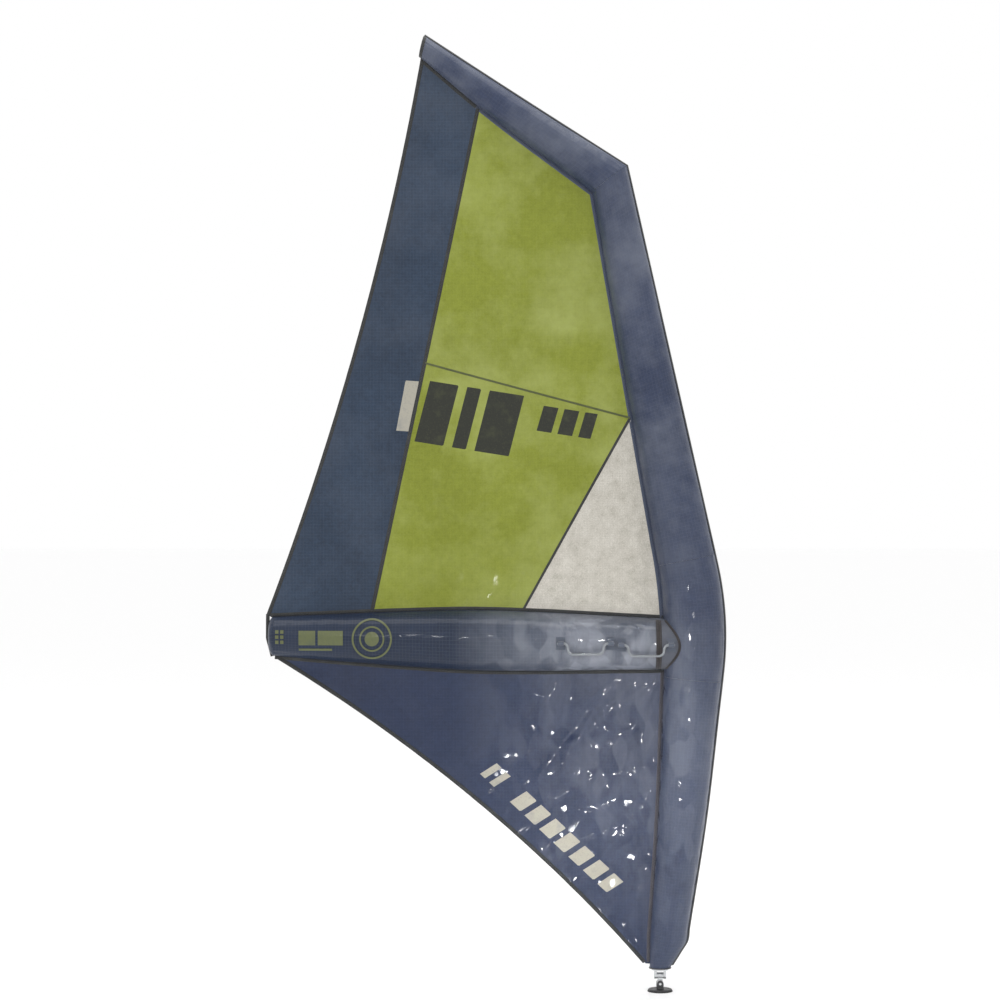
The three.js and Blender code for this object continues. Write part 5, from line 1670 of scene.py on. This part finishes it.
def make_springs():
    """Wound wire with closed ends, as long as the CAD spring it stands for."""
    for node, joint, turns, wire, way in SPRINGS:
        low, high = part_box(node)
        middle = (low + high) / 2
        long = high.y - low.y
        radius = (high.x - low.x) / 2 - wire
        turned = np.linspace(0, turns, turns * 28 + 1)
        rise = np.clip((turned - 0.75) / (turns - 1.5), 0, 1) * (long - 2 * wire) + low.y + wire
        angles = 2 * math.pi * turned
        outs = np.column_stack([np.cos(angles), 0 * angles, np.sin(angles)])
        line = np.array([middle.x, 0, middle.z]) + radius * outs
        line[:, 1] = rise
        sides = turns_round(12)
        rings = line[:, None] + outs[:, None] * np.cos(sides)[None, :, None] * wire
        rings[:, :, 1] += np.sin(sides)[None, :] * wire
        build = Build()
        index = build.grid(rings, flip=True)
        build.cap(index[0, :-1], line[0])
        build.cap(index[-1, :-1], line[-1], flip=True)
        made = build.piece(f"{node}_wire", "rig", [LOOKS["steel"]], [node])
        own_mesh(made)


# ---------- bladders, valve and foot: CAD nodes with finished materials ----------
CARRIED = {
    "bladder": ("mast_bladder", "boom_bladder", "transfer_hose"),
    "plastic": (
        "hose_clip",
        "valve_body",
        "valve_back_nut",
        "valve_plunger",
        "valve_cap",
        "mast_base_plug",
        "deck_yoke",
    ),
    "steel": (
        "valve_hinge_pin",
        "lock_pin",
        "swivel_pin_yoke",
        "joint_link",
        "joint_axle_side",
        "joint_axle_fore_aft",
    ),
    "rubber": ("deck_pad",),
}


def finish_carried_nodes():
    for look, nodes in CARRIED.items():
        for node in nodes:
            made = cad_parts[node]
            made.data.materials.clear()
            made.data.materials.append(LOOKS[look])
            made.data.set_sharp_from_angle(angle=math.radians(35))


# ---------- stage, lights and camera ----------
def plain(name, colour, roughness=0.9):
    shader = Shader(name, roughness, specular=0.1)
    shader.surface.inputs["Base Color"].default_value = colour
    return shader.material


def make_stage():
    """A plain pale floor, wide enough to reach the horizon."""
    reach = 60.0
    mesh = bpy.data.meshes.new("floor")
    corners = [(-reach, -reach, 0), (reach, -reach, 0), (reach, reach, 0), (-reach, reach, 0)]
    mesh.from_pydata(corners, [], [[0, 1, 2, 3]])
    mesh.materials.append(plain("floor_paper", (0.985, 0.985, 0.985, 1)))
    made = bpy.data.objects.new("floor", mesh)
    bpy.context.scene.collection.objects.link(made)


def area_light(name, place, target, size, power):
    data = bpy.data.lights.new(name, "AREA")
    data.size = size
    data.energy = power
    made = bpy.data.objects.new(name, data)
    made.location = place
    made.rotation_euler = (Vector(target) - Vector(place)).to_track_quat("-Z", "Y").to_euler()
    bpy.context.scene.collection.objects.link(made)
    return made


def make_lights():
    """Soft white light from all round, more from the front, and a narrow beam that catches the film."""
    middle = (-0.35, 0.0, 1.1)
    area_light("key", (-2.6, -5.5, 3.6), middle, 2.6, 12)
    area_light("fill", (3.4, -5.0, 2.0), middle, 3.0, 8)
    area_light("top", (0.0, 0.0, 6.0), (0, 0, 0), 4.0, 120)
    glint = area_light("glint", (-1.4, -5.7, 2.0), (-0.12, 0, 0.40), 0.6, 0.8)
    glint.data.spread = math.radians(9)
    world = bpy.data.worlds.new("studio")
    world.use_nodes = True
    world.node_tree.nodes["Background"].inputs["Color"].default_value = (1, 1, 1, 1)
    world.node_tree.nodes["Background"].inputs["Strength"].default_value = 1.0
    bpy.context.scene.world = world


def make_camera():
    """Square on to the starboard side, from far off."""
    data = bpy.data.cameras.new("camera")
    data.lens = 100
    data.sensor_width = 36
    made = bpy.data.objects.new("camera", data)
    made.location = (-0.384, -6.667, 1.1788)
    made.rotation_euler = (math.pi / 2, 0, 0)
    bpy.context.scene.collection.objects.link(made)
    bpy.context.scene.camera = made
    bpy.context.scene.view_settings.view_transform = "Standard"


make_camera()
make_stage()
make_lights()
make_mast_and_head()
make_head_tip()
make_boom()
make_boom_end()
make_tapes()
make_panels()
make_rub_strips()
make_joint_patches()
make_boom_prints()
make_hand_loops()
make_springs()
finish_carried_nodes()
